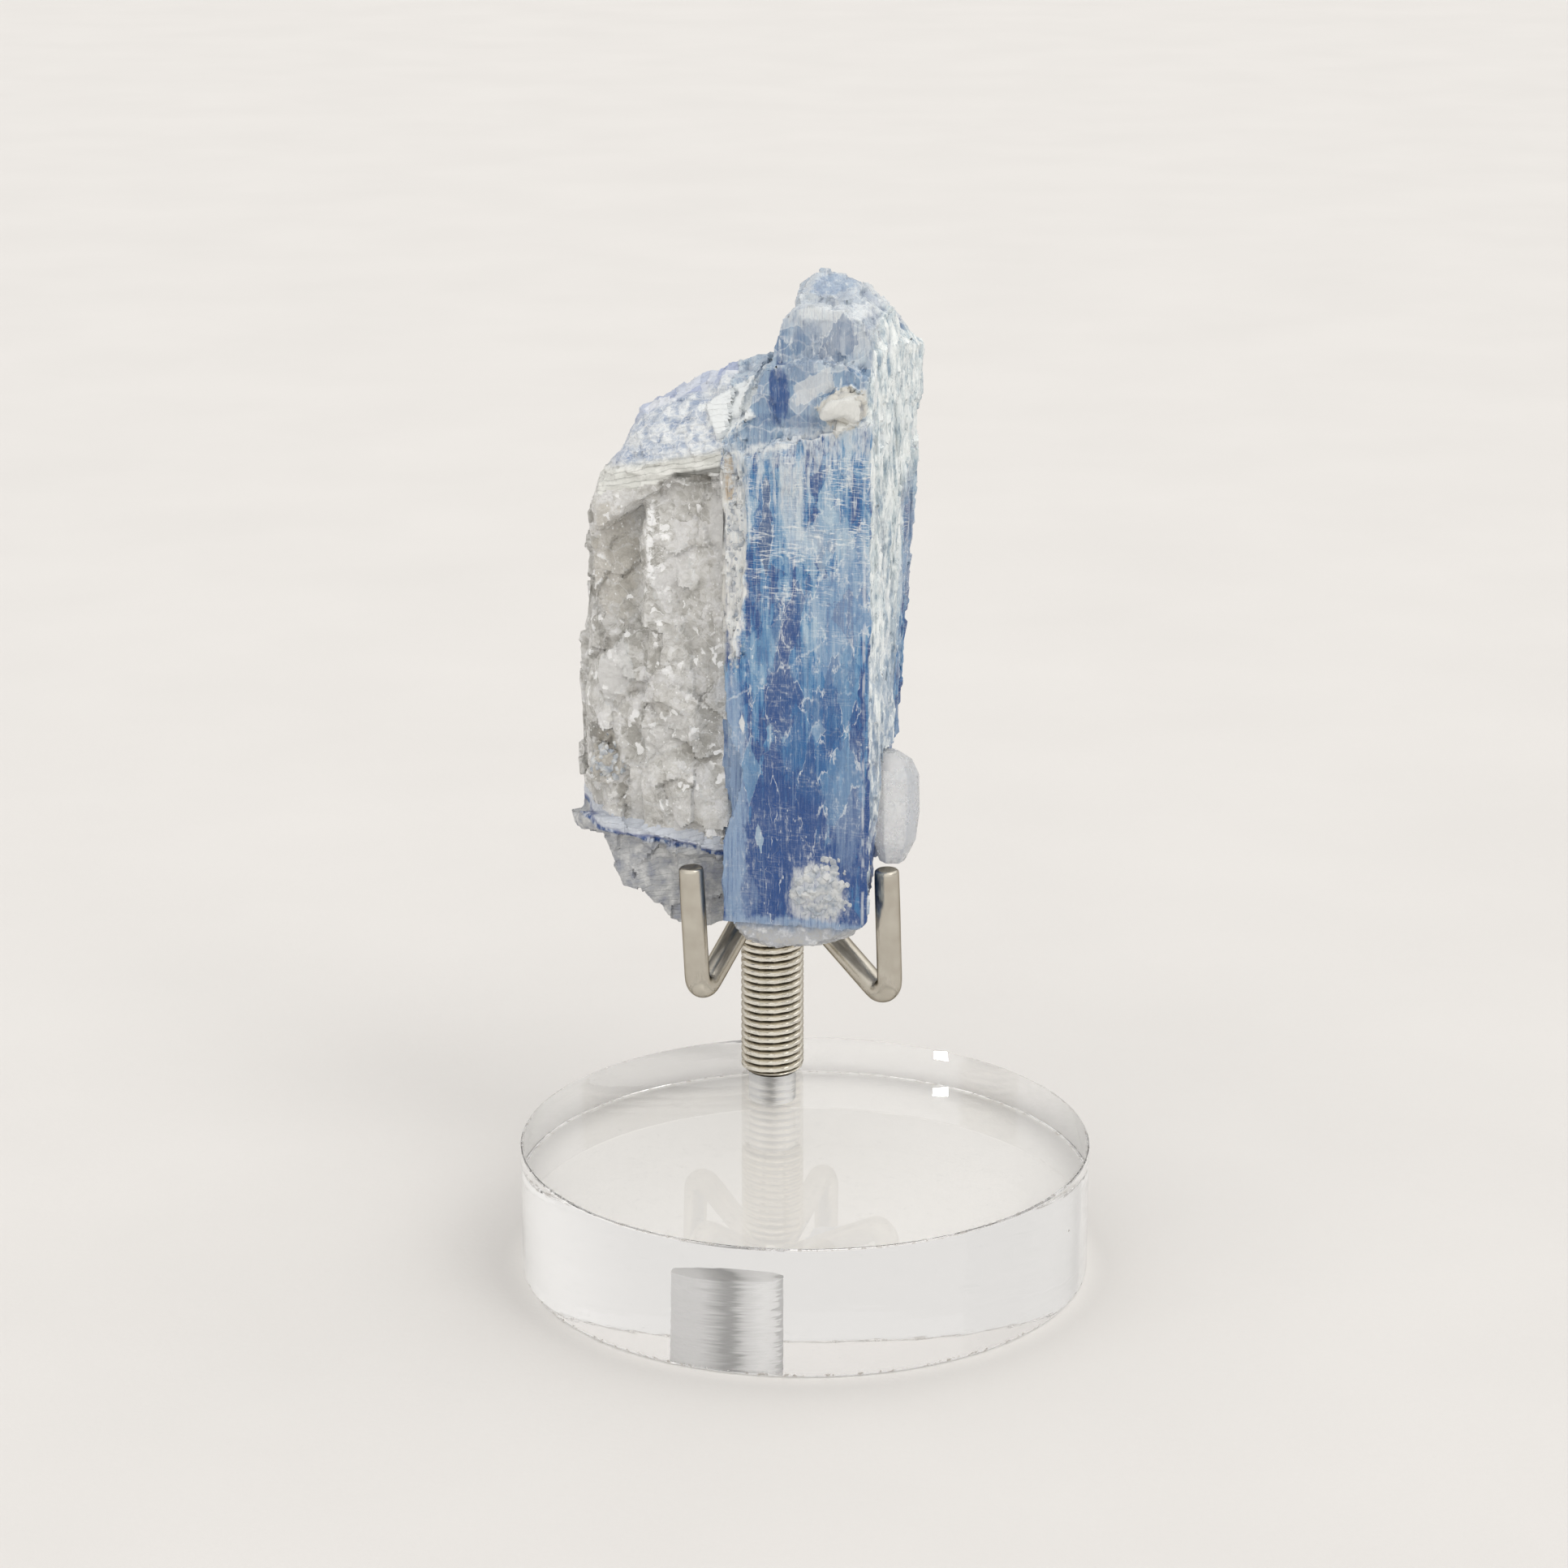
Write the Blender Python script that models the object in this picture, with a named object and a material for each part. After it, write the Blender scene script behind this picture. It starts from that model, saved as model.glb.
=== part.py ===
"""Kyanite specimen on a clear round base, held by four bent steel wires on a threaded rod.

Metres, +Z up. The origin is the centre of the base's underside and the front is -Y.
"""

import math
import random

import bmesh
import bpy
from mathutils import Matrix, Vector

MM = 0.001
GAP = 0.3

BASE_RADIUS = 35.0
BASE_THICK = 16.0
BASE_CHAMFER = 0.35
BASE_SIDES = 96
HOLE_RADIUS = 3.0
HOLE_FLOOR = 3.8
HOLE_SIDES = 32

ROD_CENTRE = (-3.8, 23.2)
ROD_RADIUS = 4.0
THREAD_PITCH = 1.0
THREAD_DEPTH = 0.61
ROD_TOP = 38.6
ROD_TIP_RADIUS = 2.4
ROD_TIP_HEIGHT = 1.3
ROD_SIDES = 24
STUD_RADIUS = 2.7
STUD_BOTTOM = 4.2
STUD_CHAMFER = 0.7

WIRE_RADIUS = 1.6
WIRE_SIDES = 14
WIRE_CHAMFER = 0.3
HUB_HEIGHT = 43.2
HUB_REACH = 3.0
BEND_RADIUS = 1.75
BEND_STEPS = 8
# Name, then the foot of the bend and the tip of the upright, each as x, y and z.
PRONGS = (
    ("front_left_prong", (-13.1, 7.2, 31.3), (-13.9, 7.2, 48.6)),
    ("front_right_prong", (10.7, 7.2, 30.7), (10.1, 7.2, 48.2)),
    ("rear_left_prong", (-13.9, 35.0, 34.6), (-14.2, 34.6, 49.0)),
    ("rear_right_prong", (3.6, 36.6, 34.6), (3.4, 36.2, 50.0)),
)

# The stone has axes of its own: u to the right along the blade's face, v into its depth, w up.
STONE_TURN = math.radians(-15)
STONE_CORNER = (7.7, 2.0)

# Each crystal is a row of sections: a depth v, then an outline as (u, w) points.
FRONT_BLADE = (
    (0.0, ((-15.4, 99.8), (-12.2, 102.0), (-7.2, 102.7), (-4.3, 104.1), (-0.1, 104.5), (0.0, 75.0),
           (0.0, 56.0), (0.0, 43.0), (-1.5, 41.6), (-18.4, 41.4), (-18.6, 51.6), (-16.7, 57.0),
           (-15.8, 61.2), (-17.8, 67.2), (-18.0, 73.3), (-15.9, 81.5), (-15.2, 91.5))),
    (9.0, ((-17.0, 99.0), (-13.0, 101.5), (-8.0, 102.0), (-5.0, 103.5), (-0.2, 104.0), (-0.2, 75.0),
           (-0.6, 56.0), (-1.6, 46.5), (-3.0, 45.0), (-17.5, 45.0), (-18.8, 52.0), (-18.6, 57.5),
           (-18.5, 62.0), (-18.6, 68.0), (-18.6, 74.0), (-18.2, 82.0), (-17.8, 91.0))),
)
SECOND_LAYER = (
    (1.4, ((-18.6, 100.4), (-15.6, 104.6), (-13.6, 110.4), (-10.2, 111.0), (-7.6, 111.9), (-2.7, 110.9),
           (-0.3, 109.4), (-0.2, 80.0), (-0.3, 60.0), (-1.2, 50.0), (-17.6, 50.0), (-18.4, 80.0))),
    (14.0, ((-19.6, 102.0), (-16.6, 107.0), (-13.8, 111.0), (-10.2, 111.6), (-7.6, 112.2), (-2.0, 112.0),
            (0.3, 111.0), (0.1, 80.0), (-0.6, 60.0), (-1.8, 47.0), (-17.4, 47.0), (-19.0, 80.0))),
    (25.0, ((-19.0, 98.0), (-16.0, 105.0), (-13.0, 110.0), (-9.0, 112.0), (-6.0, 112.4), (-2.0, 111.6),
            (0.8, 109.8), (-0.7, 85.0), (-2.4, 62.0), (-4.0, 49.0), (-16.0, 49.0), (-18.0, 80.0))),
)
UPPER_BLOCK = (
    (3.6, ((-13.2, 108.0), (-12.9, 112.0), (-11.8, 116.0), (-10.2, 117.6), (-7.6, 117.9), (-4.2, 117.4),
           (-1.4, 115.4), (-0.3, 112.0), (-0.4, 106.0), (-12.6, 104.0))),
    (15.0, ((-13.4, 108.0), (-13.2, 112.0), (-12.4, 116.0), (-10.6, 118.0), (-7.4, 118.3), (-3.0, 117.6),
            (-0.4, 115.4), (0.5, 112.0), (0.2, 106.0), (-13.0, 104.0))),
)
TOP_CAP = (
    (6.5, ((-12.0, 107.0), (-10.9, 117.6), (-9.0, 118.8), (-5.0, 118.2), (-1.2, 116.2), (0.2, 112.5),
           (0.2, 106.0))),
    (12.0, ((-12.6, 107.0), (-11.8, 118.9), (-9.0, 121.0), (-4.8, 119.9), (0.0, 116.2), (0.8, 112.4),
            (0.5, 105.0))),
    (25.0, ((-13.5, 106.0), (-12.0, 113.0), (-9.0, 116.6), (-5.5, 116.3), (-2.9, 114.0), (0.9, 109.9),
            (0.6, 103.0))),
    (29.0, ((-12.5, 104.0), (-11.0, 110.0), (-8.5, 112.5), (-6.0, 112.6), (-3.4, 110.6), (-0.6, 107.0),
            (-0.8, 101.0))),
)
LEFT_CAP = (
    (2.4, ((-34.9, 93.2), (-32.4, 95.6), (-29.6, 97.3), (-25.0, 98.9), (-21.0, 99.9), (-17.4, 101.4),
           (-16.4, 96.0), (-24.6, 95.6), (-30.6, 93.0), (-34.4, 89.6))),
    (6.0, ((-36.3, 92.4), (-34.9, 96.2), (-31.8, 100.0), (-28.6, 102.6), (-22.6, 104.4), (-16.6, 107.0),
           (-15.0, 95.0), (-24.6, 94.4), (-30.8, 91.0), (-35.6, 88.6))),
    (12.0, ((-38.0, 90.9), (-36.9, 94.7), (-33.7, 98.9), (-31.6, 103.3), (-23.8, 107.6), (-15.4, 110.7),
            (-14.0, 95.0), (-24.6, 94.0), (-31.0, 90.0), (-37.4, 88.0))),
    (22.0, ((-37.0, 88.0), (-35.8, 92.0), (-32.4, 97.0), (-29.6, 101.0), (-22.8, 105.0), (-15.0, 108.4),
            (-14.0, 93.0), (-24.6, 92.0), (-30.0, 88.0), (-36.0, 84.0))),
)
QUARTZ_BODY = (
    (3.4, ((-28.6, 94.6), (-17.6, 97.8), (-17.0, 72.0), (-17.6, 49.0), (-24.0, 48.6), (-29.6, 50.0),
           (-28.8, 72.0))),
    (5.0, ((-29.4, 95.0), (-16.6, 98.0), (-16.6, 72.0), (-16.6, 48.0), (-24.0, 47.4), (-30.4, 49.0),
           (-29.6, 72.0))),
    (20.0, ((-30.0, 95.0), (-16.0, 98.0), (-15.0, 72.0), (-15.0, 48.0), (-24.0, 46.8), (-31.0, 48.0),
            (-31.0, 72.0))),
)
LEFT_WALL = (
    (7.6, ((-36.9, 91.6), (-28.0, 93.0), (-28.0, 52.0), (-36.6, 51.0), (-37.6, 60.0), (-36.8, 70.0),
           (-36.6, 80.0))),
    (14.0, ((-38.8, 90.0), (-28.0, 93.0), (-28.0, 49.0), (-40.9, 50.0), (-40.5, 60.0), (-39.6, 71.0),
            (-38.7, 82.0))),
    (20.0, ((-37.0, 87.0), (-28.0, 91.0), (-28.0, 50.0), (-38.6, 52.0), (-38.4, 60.0), (-38.0, 71.0),
            (-37.2, 81.0))),
)
LEFT_SWELL = (
    (4.2, ((-33.4, 73.4), (-29.0, 76.6), (-27.4, 66.0), (-27.4, 52.0), (-33.4, 52.6), (-34.9, 58.0),
           (-34.6, 67.0))),
    (9.0, ((-37.4, 75.4), (-29.0, 80.4), (-27.0, 66.0), (-27.0, 50.0), (-37.4, 51.4), (-38.6, 58.0),
           (-38.2, 67.0))),
)
LOW_LEDGE = (
    (2.8, ((-34.0, 52.6), (-24.0, 51.0), (-19.0, 50.6), (-19.0, 49.6), (-24.0, 49.9), (-34.6, 51.2))),
    (13.0, ((-42.0, 50.6), (-24.0, 52.0), (-16.0, 52.0), (-16.0, 48.0), (-24.0, 47.6), (-41.4, 48.7))),
    (19.0, ((-38.4, 51.0), (-24.0, 52.0), (-16.0, 52.0), (-16.0, 48.4), (-24.0, 48.0), (-38.0, 49.2))),
)
LOW_WEDGE = (
    (4.2, ((-35.0, 50.2), (-33.8, 46.6), (-32.4, 43.7), (-29.5, 43.7), (-27.1, 40.8), (-25.1, 39.3),
           (-21.6, 38.9), (-17.6, 40.8), (-17.4, 50.0))),
    (12.5, ((-37.0, 50.0), (-36.4, 47.6), (-34.6, 45.6), (-31.0, 45.0), (-28.0, 43.8), (-25.1, 43.2),
            (-21.0, 43.4), (-16.8, 44.4), (-16.6, 50.0))),
    (18.0, ((-34.0, 51.0), (-33.6, 49.6), (-32.0, 48.4), (-29.6, 47.6), (-27.0, 47.2), (-24.1, 47.0),
            (-20.0, 47.0), (-16.6, 47.2), (-16.4, 51.0))),
)
FOOT = (
    (0.9, ((-16.6, 44.0), (-17.0, 40.6), (-15.4, 39.4), (-12.4, 38.7), (-8.0, 39.0), (-4.6, 40.2),
           (-2.4, 41.8), (-1.6, 44.0))),
    (3.4, ((-17.4, 46.0), (-17.6, 39.8), (-16.4, 38.2), (-12.6, 37.4), (-6.2, 38.5), (-2.9, 39.8),
           (-1.2, 42.0), (-1.2, 46.0))),
    (7.0, ((-16.8, 48.0), (-16.8, 40.6), (-15.4, 39.0), (-12.5, 38.4), (-6.6, 38.3), (-3.4, 39.0),
           (-1.8, 42.0), (-1.8, 48.0))),
    (13.0, ((-16.6, 50.0), (-16.6, 43.6), (-15.0, 42.8), (-12.5, 42.2), (-8.0, 41.6), (-4.2, 42.0),
            (-3.0, 43.6), (-2.6, 50.0))),
    (17.0, ((-16.0, 52.0), (-16.0, 46.8), (-15.0, 46.4), (-12.5, 46.2), (-8.0, 45.6), (-5.0, 45.4),
            (-4.0, 46.0), (-3.6, 52.0))),
)
BACK_BLADE = (
    (22.5, ((-18.0, 101.0), (-12.0, 108.0), (-4.0, 108.0), (-1.0, 102.0), (-1.6, 74.0), (-3.4, 46.0),
            (-6.0, 43.0), (-11.0, 43.6), (-15.6, 44.6), (-17.4, 52.0), (-18.4, 76.0))),
    (28.6, ((-15.6, 97.0), (-12.0, 103.6), (-5.0, 105.0), (-2.6, 99.0), (-3.4, 72.0), (-5.0, 47.0),
            (-7.4, 41.8), (-10.6, 41.4), (-13.8, 42.4), (-15.4, 52.0), (-16.0, 76.0))),
)
BACK_LEFT_BLADE = (
    (17.0, ((-34.0, 90.0), (-27.0, 98.0), (-22.0, 97.0), (-21.4, 70.0), (-22.0, 46.4), (-26.0, 43.2),
            (-31.0, 45.6), (-34.6, 66.0))),
    (23.4, ((-31.6, 84.0), (-27.0, 91.0), (-23.6, 92.0), (-23.4, 70.0), (-24.2, 48.4), (-26.4, 46.0),
            (-29.6, 48.0), (-32.0, 66.0))),
)
BACK_QUARTZ = (
    (19.0, ((-25.0, 84.0), (-20.0, 90.0), (-15.0, 88.0), (-14.0, 70.0), (-14.0, 50.0), (-19.0, 47.6),
            (-25.0, 49.0), (-26.0, 66.0))),
    (25.4, ((-22.4, 78.0), (-20.0, 84.0), (-16.6, 82.0), (-15.4, 70.0), (-15.4, 54.0), (-18.6, 51.0),
            (-22.4, 54.0), (-23.0, 66.0))),
)
STONE_CRYSTALS = (
    ("front_blade", FRONT_BLADE), ("second_layer", SECOND_LAYER), ("upper_block", UPPER_BLOCK),
    ("top_cap", TOP_CAP), ("left_cap", LEFT_CAP), ("quartz_body", QUARTZ_BODY),
    ("left_wall", LEFT_WALL), ("left_swell", LEFT_SWELL), ("low_ledge", LOW_LEDGE),
    ("low_wedge", LOW_WEDGE), ("foot", FOOT), ("back_blade", BACK_BLADE),
    ("back_left_blade", BACK_LEFT_BLADE), ("back_quartz", BACK_QUARTZ),
)

# Thin blades in a row with the big ones: foot and top as (u, v, w), then width, depth and turn in degrees.
BLADES = (
    ((-0.45, 4.4, 58.0), (-0.45, 4.2, 101.0), 1.5, 2.2, 4.0),
    ((-0.55, 8.4, 64.0), (-0.35, 8.6, 108.0), 1.5, 2.4, -5.0),
    ((-0.9, 13.0, 62.0), (-0.15, 13.2, 104.0), 1.6, 2.6, 4.0),
    ((-1.9, 19.0, 66.0), (-0.1, 19.2, 106.0), 1.7, 2.8, -4.0),
    ((-2.6, 23.4, 60.0), (-0.2, 23.6, 98.0), 1.6, 2.4, 6.0),
    ((-17.2, 2.4, 76.0), (-17.0, 2.6, 99.0), 3.4, 1.9, -6.0),
    ((-19.4, 8.2, 97.0), (-18.2, 8.6, 108.0), 5.0, 3.0, 9.0),
    ((-11.4, 28.0, 47.0), (-11.0, 27.6, 97.0), 3.2, 2.6, 7.0),
    ((-6.8, 28.2, 58.0), (-6.4, 27.8, 101.0), 2.4, 2.2, -6.0),
    ((-15.6, 25.6, 56.0), (-15.8, 25.2, 104.0), 2.6, 3.2, 12.0),
    ((-29.0, 22.8, 50.0), (-28.6, 22.6, 84.0), 3.0, 2.8, -9.0),
    ((-33.4, 19.0, 48.0), (-32.8, 19.4, 90.0), 3.4, 3.4, 14.0),
    ((-39.2, 12.4, 56.0), (-37.8, 12.6, 87.0), 1.8, 3.2, 8.0),
    ((-39.4, 16.4, 52.0), (-37.4, 16.6, 82.0), 2.0, 2.6, -8.0),
    ((-22.4, 23.4, 58.0), (-22.0, 23.0, 88.0), 2.6, 3.0, 5.0),
)
BLADE_SLANT = 0.5

# Rounded lumps and broken grains: centre in u, v, w, then the half sizes along u, v and w.
LUMPS = (
    ((-6.4, 0.5, 47.2), (3.7, 1.1, 3.4)),
    ((-3.6, 0.8, 106.4), (3.2, 1.6, 2.3)),
    ((-10.2, 0.4, 98.4), (2.4, 0.8, 3.6)),
    ((-33.9, 5.0, 59.8), (3.0, 2.2, 3.8)),
    ((-32.6, 4.6, 70.6), (3.0, 1.4, 4.2)),
    ((-25.2, 3.9, 68.0), (5.0, 1.3, 7.4)),
    ((-25.6, 3.9, 83.4), (3.6, 1.0, 5.4)),
    ((-23.0, 3.9, 56.6), (5.6, 1.5, 6.0)),
    ((-19.2, 24.0, 66.0), (4.2, 3.0, 8.0)),
    ((-37.9, 13.6, 72.0), (2.2, 3.8, 7.4)),
    ((-20.6, 21.6, 92.0), (4.4, 3.2, 4.8)),
    ((-27.4, 20.6, 90.4), (4.2, 2.8, 5.0)),
)

# The small clear crystal on the right side, as sections from the bottom up: w, then (u, v) centre and radius.
SIDE_CRYSTAL = (
    (47.6, (0.5, 10.7), 1.7),
    (50.4, (0.7, 11.0), 2.8),
    (54.0, (0.8, 11.2), 3.1),
    (58.8, (0.7, 11.2), 3.1),
    (60.7, (0.4, 11.2), 2.5),
    (61.8, (-0.2, 11.2), 1.5),
)
SIDE_CRYSTAL_SIDES = 6

# Name, base colour, roughness, metallic.
FINISHES = {
    "clear_acrylic": ((0.93, 0.94, 0.94), 0.04, 0.0),
    "nickel_steel": ((0.62, 0.59, 0.54), 0.28, 1.0),
    "kyanite_quartz": ((0.36, 0.47, 0.66), 0.42, 0.0),
}


def clear_scene():
    for thing in list(bpy.data.objects):
        bpy.data.objects.remove(thing)


def make_finish(name):
    colour, roughness, metallic = FINISHES[name]
    material = bpy.data.materials.new(name)
    material.use_nodes = True
    shader = material.node_tree.nodes["Principled BSDF"]
    shader.inputs["Base Color"].default_value = (*colour, 1.0)
    shader.inputs["Roughness"].default_value = roughness
    shader.inputs["Metallic"].default_value = metallic
    return material


def add_object(name, bm, material):
    """Keeps a bmesh drawn in millimetres as a named object in metres."""
    bmesh.ops.scale(bm, vec=(MM, MM, MM), verts=bm.verts)
    mesh = bpy.data.meshes.new(name)
    bm.to_mesh(mesh)
    bm.free()
    thing = bpy.data.objects.new(name, mesh)
    bpy.context.scene.collection.objects.link(thing)
    if material:
        mesh.materials.append(material)
    return thing


def bridge_rings(bm, rings):
    """Closes a row of vertex rings into one solid, with a cap on each end."""
    for low, high in zip(rings, rings[1:]):
        count = len(low)
        for i in range(count):
            j = (i + 1) % count
            bm.faces.new((low[i], low[j], high[j], high[i]))
    bm.faces.new(list(reversed(rings[0])))
    bm.faces.new(rings[-1])
    bmesh.ops.recalc_face_normals(bm, faces=bm.faces)


def turned(profile, sides, centre=(0.0, 0.0)):
    """A solid of revolution about a vertical axis, from (radius, z) points."""
    bm = bmesh.new()
    rings = []
    for radius, z in profile:
        ring = []
        for i in range(sides):
            angle = math.tau * i / sides
            spot = (centre[0] + radius * math.cos(angle), centre[1] + radius * math.sin(angle), z)
            ring.append(bm.verts.new(spot))
        rings.append(ring)
    bridge_rings(bm, rings)
    return bm


def make_base(material):
    edge = BASE_RADIUS - BASE_CHAMFER
    profile = (
        (edge, 0.0),
        (BASE_RADIUS, BASE_CHAMFER),
        (BASE_RADIUS, BASE_THICK - BASE_CHAMFER),
        (edge, BASE_THICK),
    )
    base = add_object("acrylic_base", turned(profile, BASE_SIDES), material)
    drill = ((HOLE_RADIUS, HOLE_FLOOR), (HOLE_RADIUS, BASE_THICK + 1.0))
    cutter = add_object("hole_cutter", turned(drill, HOLE_SIDES, ROD_CENTRE), None)
    cutter.hide_render = True
    cutter.display_type = "WIRE"
    cut = base.modifiers.new("hole", "BOOLEAN")
    cut.operation = "DIFFERENCE"
    cut.solver = "EXACT"
    cut.object = cutter
    base.data.shade_smooth()
    base.data.set_sharp_from_angle(angle=math.radians(30))
    return base


def make_rod(material):
    """The rod: a plain stud in the base, then crests and roots up to a coned end."""
    root = ROD_RADIUS - THREAD_DEPTH
    foot = BASE_THICK + GAP
    profile = [
        (STUD_RADIUS - STUD_CHAMFER, STUD_BOTTOM),
        (STUD_RADIUS, STUD_BOTTOM + STUD_CHAMFER),
        (STUD_RADIUS, foot),
        (root, foot),
    ]
    turns = int((ROD_TOP - foot) / THREAD_PITCH)
    for i in range(turns):
        z = foot + THREAD_PITCH * (i + 0.5)
        profile.append((ROD_RADIUS, z))
        profile.append((root, z + THREAD_PITCH / 2))
    profile.append((ROD_TIP_RADIUS, foot + turns * THREAD_PITCH + ROD_TIP_HEIGHT))
    rod = add_object("threaded_rod", turned(profile, ROD_SIDES, ROD_CENTRE), material)
    rod.data.shade_smooth()
    rod.data.set_sharp_from_angle(angle=math.radians(30))
    return rod


def prong_path(foot, tip):
    """Centre line of one wire: straight arm, round bend, straight upright."""
    hub = Vector((*ROD_CENTRE, HUB_HEIGHT))
    foot = Vector(foot)
    tip = Vector(tip)
    arm = (hub - foot).normalized()
    upright = (tip - foot).normalized()
    half = arm.angle(upright) / 2
    reach = BEND_RADIUS / math.tan(half)
    centre = foot + (arm + upright).normalized() * (BEND_RADIUS / math.sin(half))
    first = foot + arm * reach - centre
    last = foot + upright * reach - centre
    axis = first.cross(last).normalized()
    sweep = first.angle(last)
    path = [hub - arm * HUB_REACH]
    for i in range(BEND_STEPS + 1):
        path.append(centre + Matrix.Rotation(sweep * i / BEND_STEPS, 3, axis) @ first)
    path.append(tip - upright * WIRE_CHAMFER)
    path.append(tip)
    return path, axis


def make_prong(name, foot, tip, material):
    path, side = prong_path(foot, tip)
    bm = bmesh.new()
    rings = []
    for i, spot in enumerate(path):
        ahead = path[min(i + 1, len(path) - 1)] - path[max(i - 1, 0)]
        across = ahead.cross(side).normalized()
        radius = WIRE_RADIUS - WIRE_CHAMFER if i == len(path) - 1 else WIRE_RADIUS
        ring = []
        for k in range(WIRE_SIDES):
            angle = math.tau * k / WIRE_SIDES
            ring.append(bm.verts.new(spot + (side * math.cos(angle) + across * math.sin(angle)) * radius))
        rings.append(ring)
    bridge_rings(bm, rings)
    prong = add_object(name, bm, material)
    prong.data.shade_smooth()
    prong.data.set_sharp_from_angle(angle=math.radians(35))
    return prong


def stone_spot(u, v, w):
    """From the stone's own axes to the part's."""
    flat = Matrix.Rotation(STONE_TURN, 2) @ Vector((u, v))
    return Vector((STONE_CORNER[0] + flat.x, STONE_CORNER[1] + flat.y, w))


def loft(sections):
    """A faceted crystal through matching outlines, one at each depth."""
    bm = bmesh.new()
    rings = [[bm.verts.new(stone_spot(u, v, w)) for u, w in outline] for v, outline in sections]
    bridge_rings(bm, rings)
    bmesh.ops.triangulate(bm, faces=bm.faces)
    return bm


def blade(foot, top, width, depth, turn):
    """A thin crystal from foot to top, its end broken off at a slant."""
    bm = bmesh.new()
    spin = Matrix.Rotation(math.radians(turn), 2)
    rings = []
    for (u, v, w), slant in ((foot, 0.0), (top, BLADE_SLANT)):
        ring = []
        for side, back in ((-1, -1), (1, -1), (1, 1), (-1, 1)):
            corner = spin @ Vector((side * width / 2, back * depth / 2))
            ring.append(bm.verts.new(stone_spot(u + corner.x, v + corner.y, w + slant * corner.y)))
        rings.append(ring)
    bridge_rings(bm, rings)
    bmesh.ops.triangulate(bm, faces=bm.faces)
    return bm


def lump(centre, half_sizes, dice):
    """A broken grain: a faceted ball with uneven corners."""
    bm = bmesh.new()
    bmesh.ops.create_icosphere(bm, subdivisions=2, radius=1.0)
    for vert in bm.verts:
        swell = 1.0 + dice.uniform(-0.16, 0.16)
        u, v, w = (c + h * k * swell for c, h, k in zip(centre, half_sizes, vert.co))
        vert.co = stone_spot(u, v, w)
    bmesh.ops.recalc_face_normals(bm, faces=bm.faces)
    return bm


def side_crystal():
    """The small six-sided quartz crystal that sticks out on the right."""
    bm = bmesh.new()
    rings = []
    for w, centre, radius in SIDE_CRYSTAL:
        ring = []
        for i in range(SIDE_CRYSTAL_SIDES):
            angle = math.tau * (i + 0.25) / SIDE_CRYSTAL_SIDES
            u = centre[0] + radius * math.cos(angle)
            v = centre[1] + radius * math.sin(angle)
            ring.append(bm.verts.new(stone_spot(u, v, w)))
        rings.append(ring)
    bridge_rings(bm, rings)
    bmesh.ops.triangulate(bm, faces=bm.faces)
    return bm


def make_stone(material):
    """All the crystals grew together, so they are joined in one solid."""
    dice = random.Random(7)
    shapes = [loft(sections) for _, sections in STONE_CRYSTALS]
    shapes += [blade(*sizes) for sizes in BLADES]
    shapes += [lump(centre, halves, dice) for centre, halves in LUMPS]
    shapes.append(side_crystal())
    stone = add_object("kyanite_specimen", shapes[0], material)
    grown = bpy.data.collections.new("crystals")
    bpy.context.scene.collection.children.link(grown)
    for number, shape in enumerate(shapes[1:]):
        crystal = add_object(f"crystal_{number}", shape, None)
        crystal.hide_render = True
        crystal.display_type = "WIRE"
        bpy.context.scene.collection.objects.unlink(crystal)
        grown.objects.link(crystal)
    join = stone.modifiers.new("grown_together", "BOOLEAN")
    join.operation = "UNION"
    join.solver = "EXACT"
    join.operand_type = "COLLECTION"
    join.collection = grown
    return stone


def main():
    clear_scene()
    finishes = {name: make_finish(name) for name in FINISHES}
    make_base(finishes["clear_acrylic"])
    make_rod(finishes["nickel_steel"])
    for name, foot, tip in PRONGS:
        make_prong(name, foot, tip, finishes["nickel_steel"])
    make_stone(finishes["kyanite_quartz"])


main()
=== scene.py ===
# %% [markdown]
# # A blue kyanite on its clear stand
#
# This lesson dresses a imported model: a stone of blue kyanite blades grown with milky quartz, four bent
# wires, a threaded rod and a clear acrylic disc. The imported model is the frame. It says where everything
# is and how big it is, and it never moves.

# %% Open the frame
import math
import random

import bmesh
import bpy
import numpy as np
from mathutils import Matrix, Vector, noise
from mathutils.bvhtree import BVHTree


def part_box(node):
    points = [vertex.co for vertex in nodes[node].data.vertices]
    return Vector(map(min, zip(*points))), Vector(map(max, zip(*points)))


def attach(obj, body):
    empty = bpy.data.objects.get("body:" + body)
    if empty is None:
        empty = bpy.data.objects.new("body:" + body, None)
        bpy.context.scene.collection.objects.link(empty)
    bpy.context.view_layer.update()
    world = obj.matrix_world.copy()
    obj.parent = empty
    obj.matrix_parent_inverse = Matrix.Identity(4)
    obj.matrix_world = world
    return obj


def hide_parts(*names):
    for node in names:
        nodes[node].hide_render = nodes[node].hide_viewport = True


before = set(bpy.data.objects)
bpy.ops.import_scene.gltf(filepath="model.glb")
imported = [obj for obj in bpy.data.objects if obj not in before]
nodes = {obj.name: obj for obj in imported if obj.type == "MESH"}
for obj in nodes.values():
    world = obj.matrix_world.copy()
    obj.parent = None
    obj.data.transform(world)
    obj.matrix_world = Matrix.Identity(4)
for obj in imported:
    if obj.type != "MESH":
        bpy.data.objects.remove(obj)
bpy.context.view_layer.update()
MM = 0.001
print("nodes:", sorted(nodes))

# %% [markdown]
# ## The camera first
#
# The photograph was taken from a little above, with a long lens. These numbers come from fitting a plain
# pinhole camera to the round rims of the disc. A matrix built from the view's own three directions puts
# the camera there with no guessing of angles.

# %% Place the camera
CAMERA_SPOT = Vector((-7.594, -449.33, 196.34)) * MM
CAMERA_YAW = math.radians(0.640)
CAMERA_PITCH = math.radians(16.722)
CAMERA_LENS = 89.78

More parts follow.
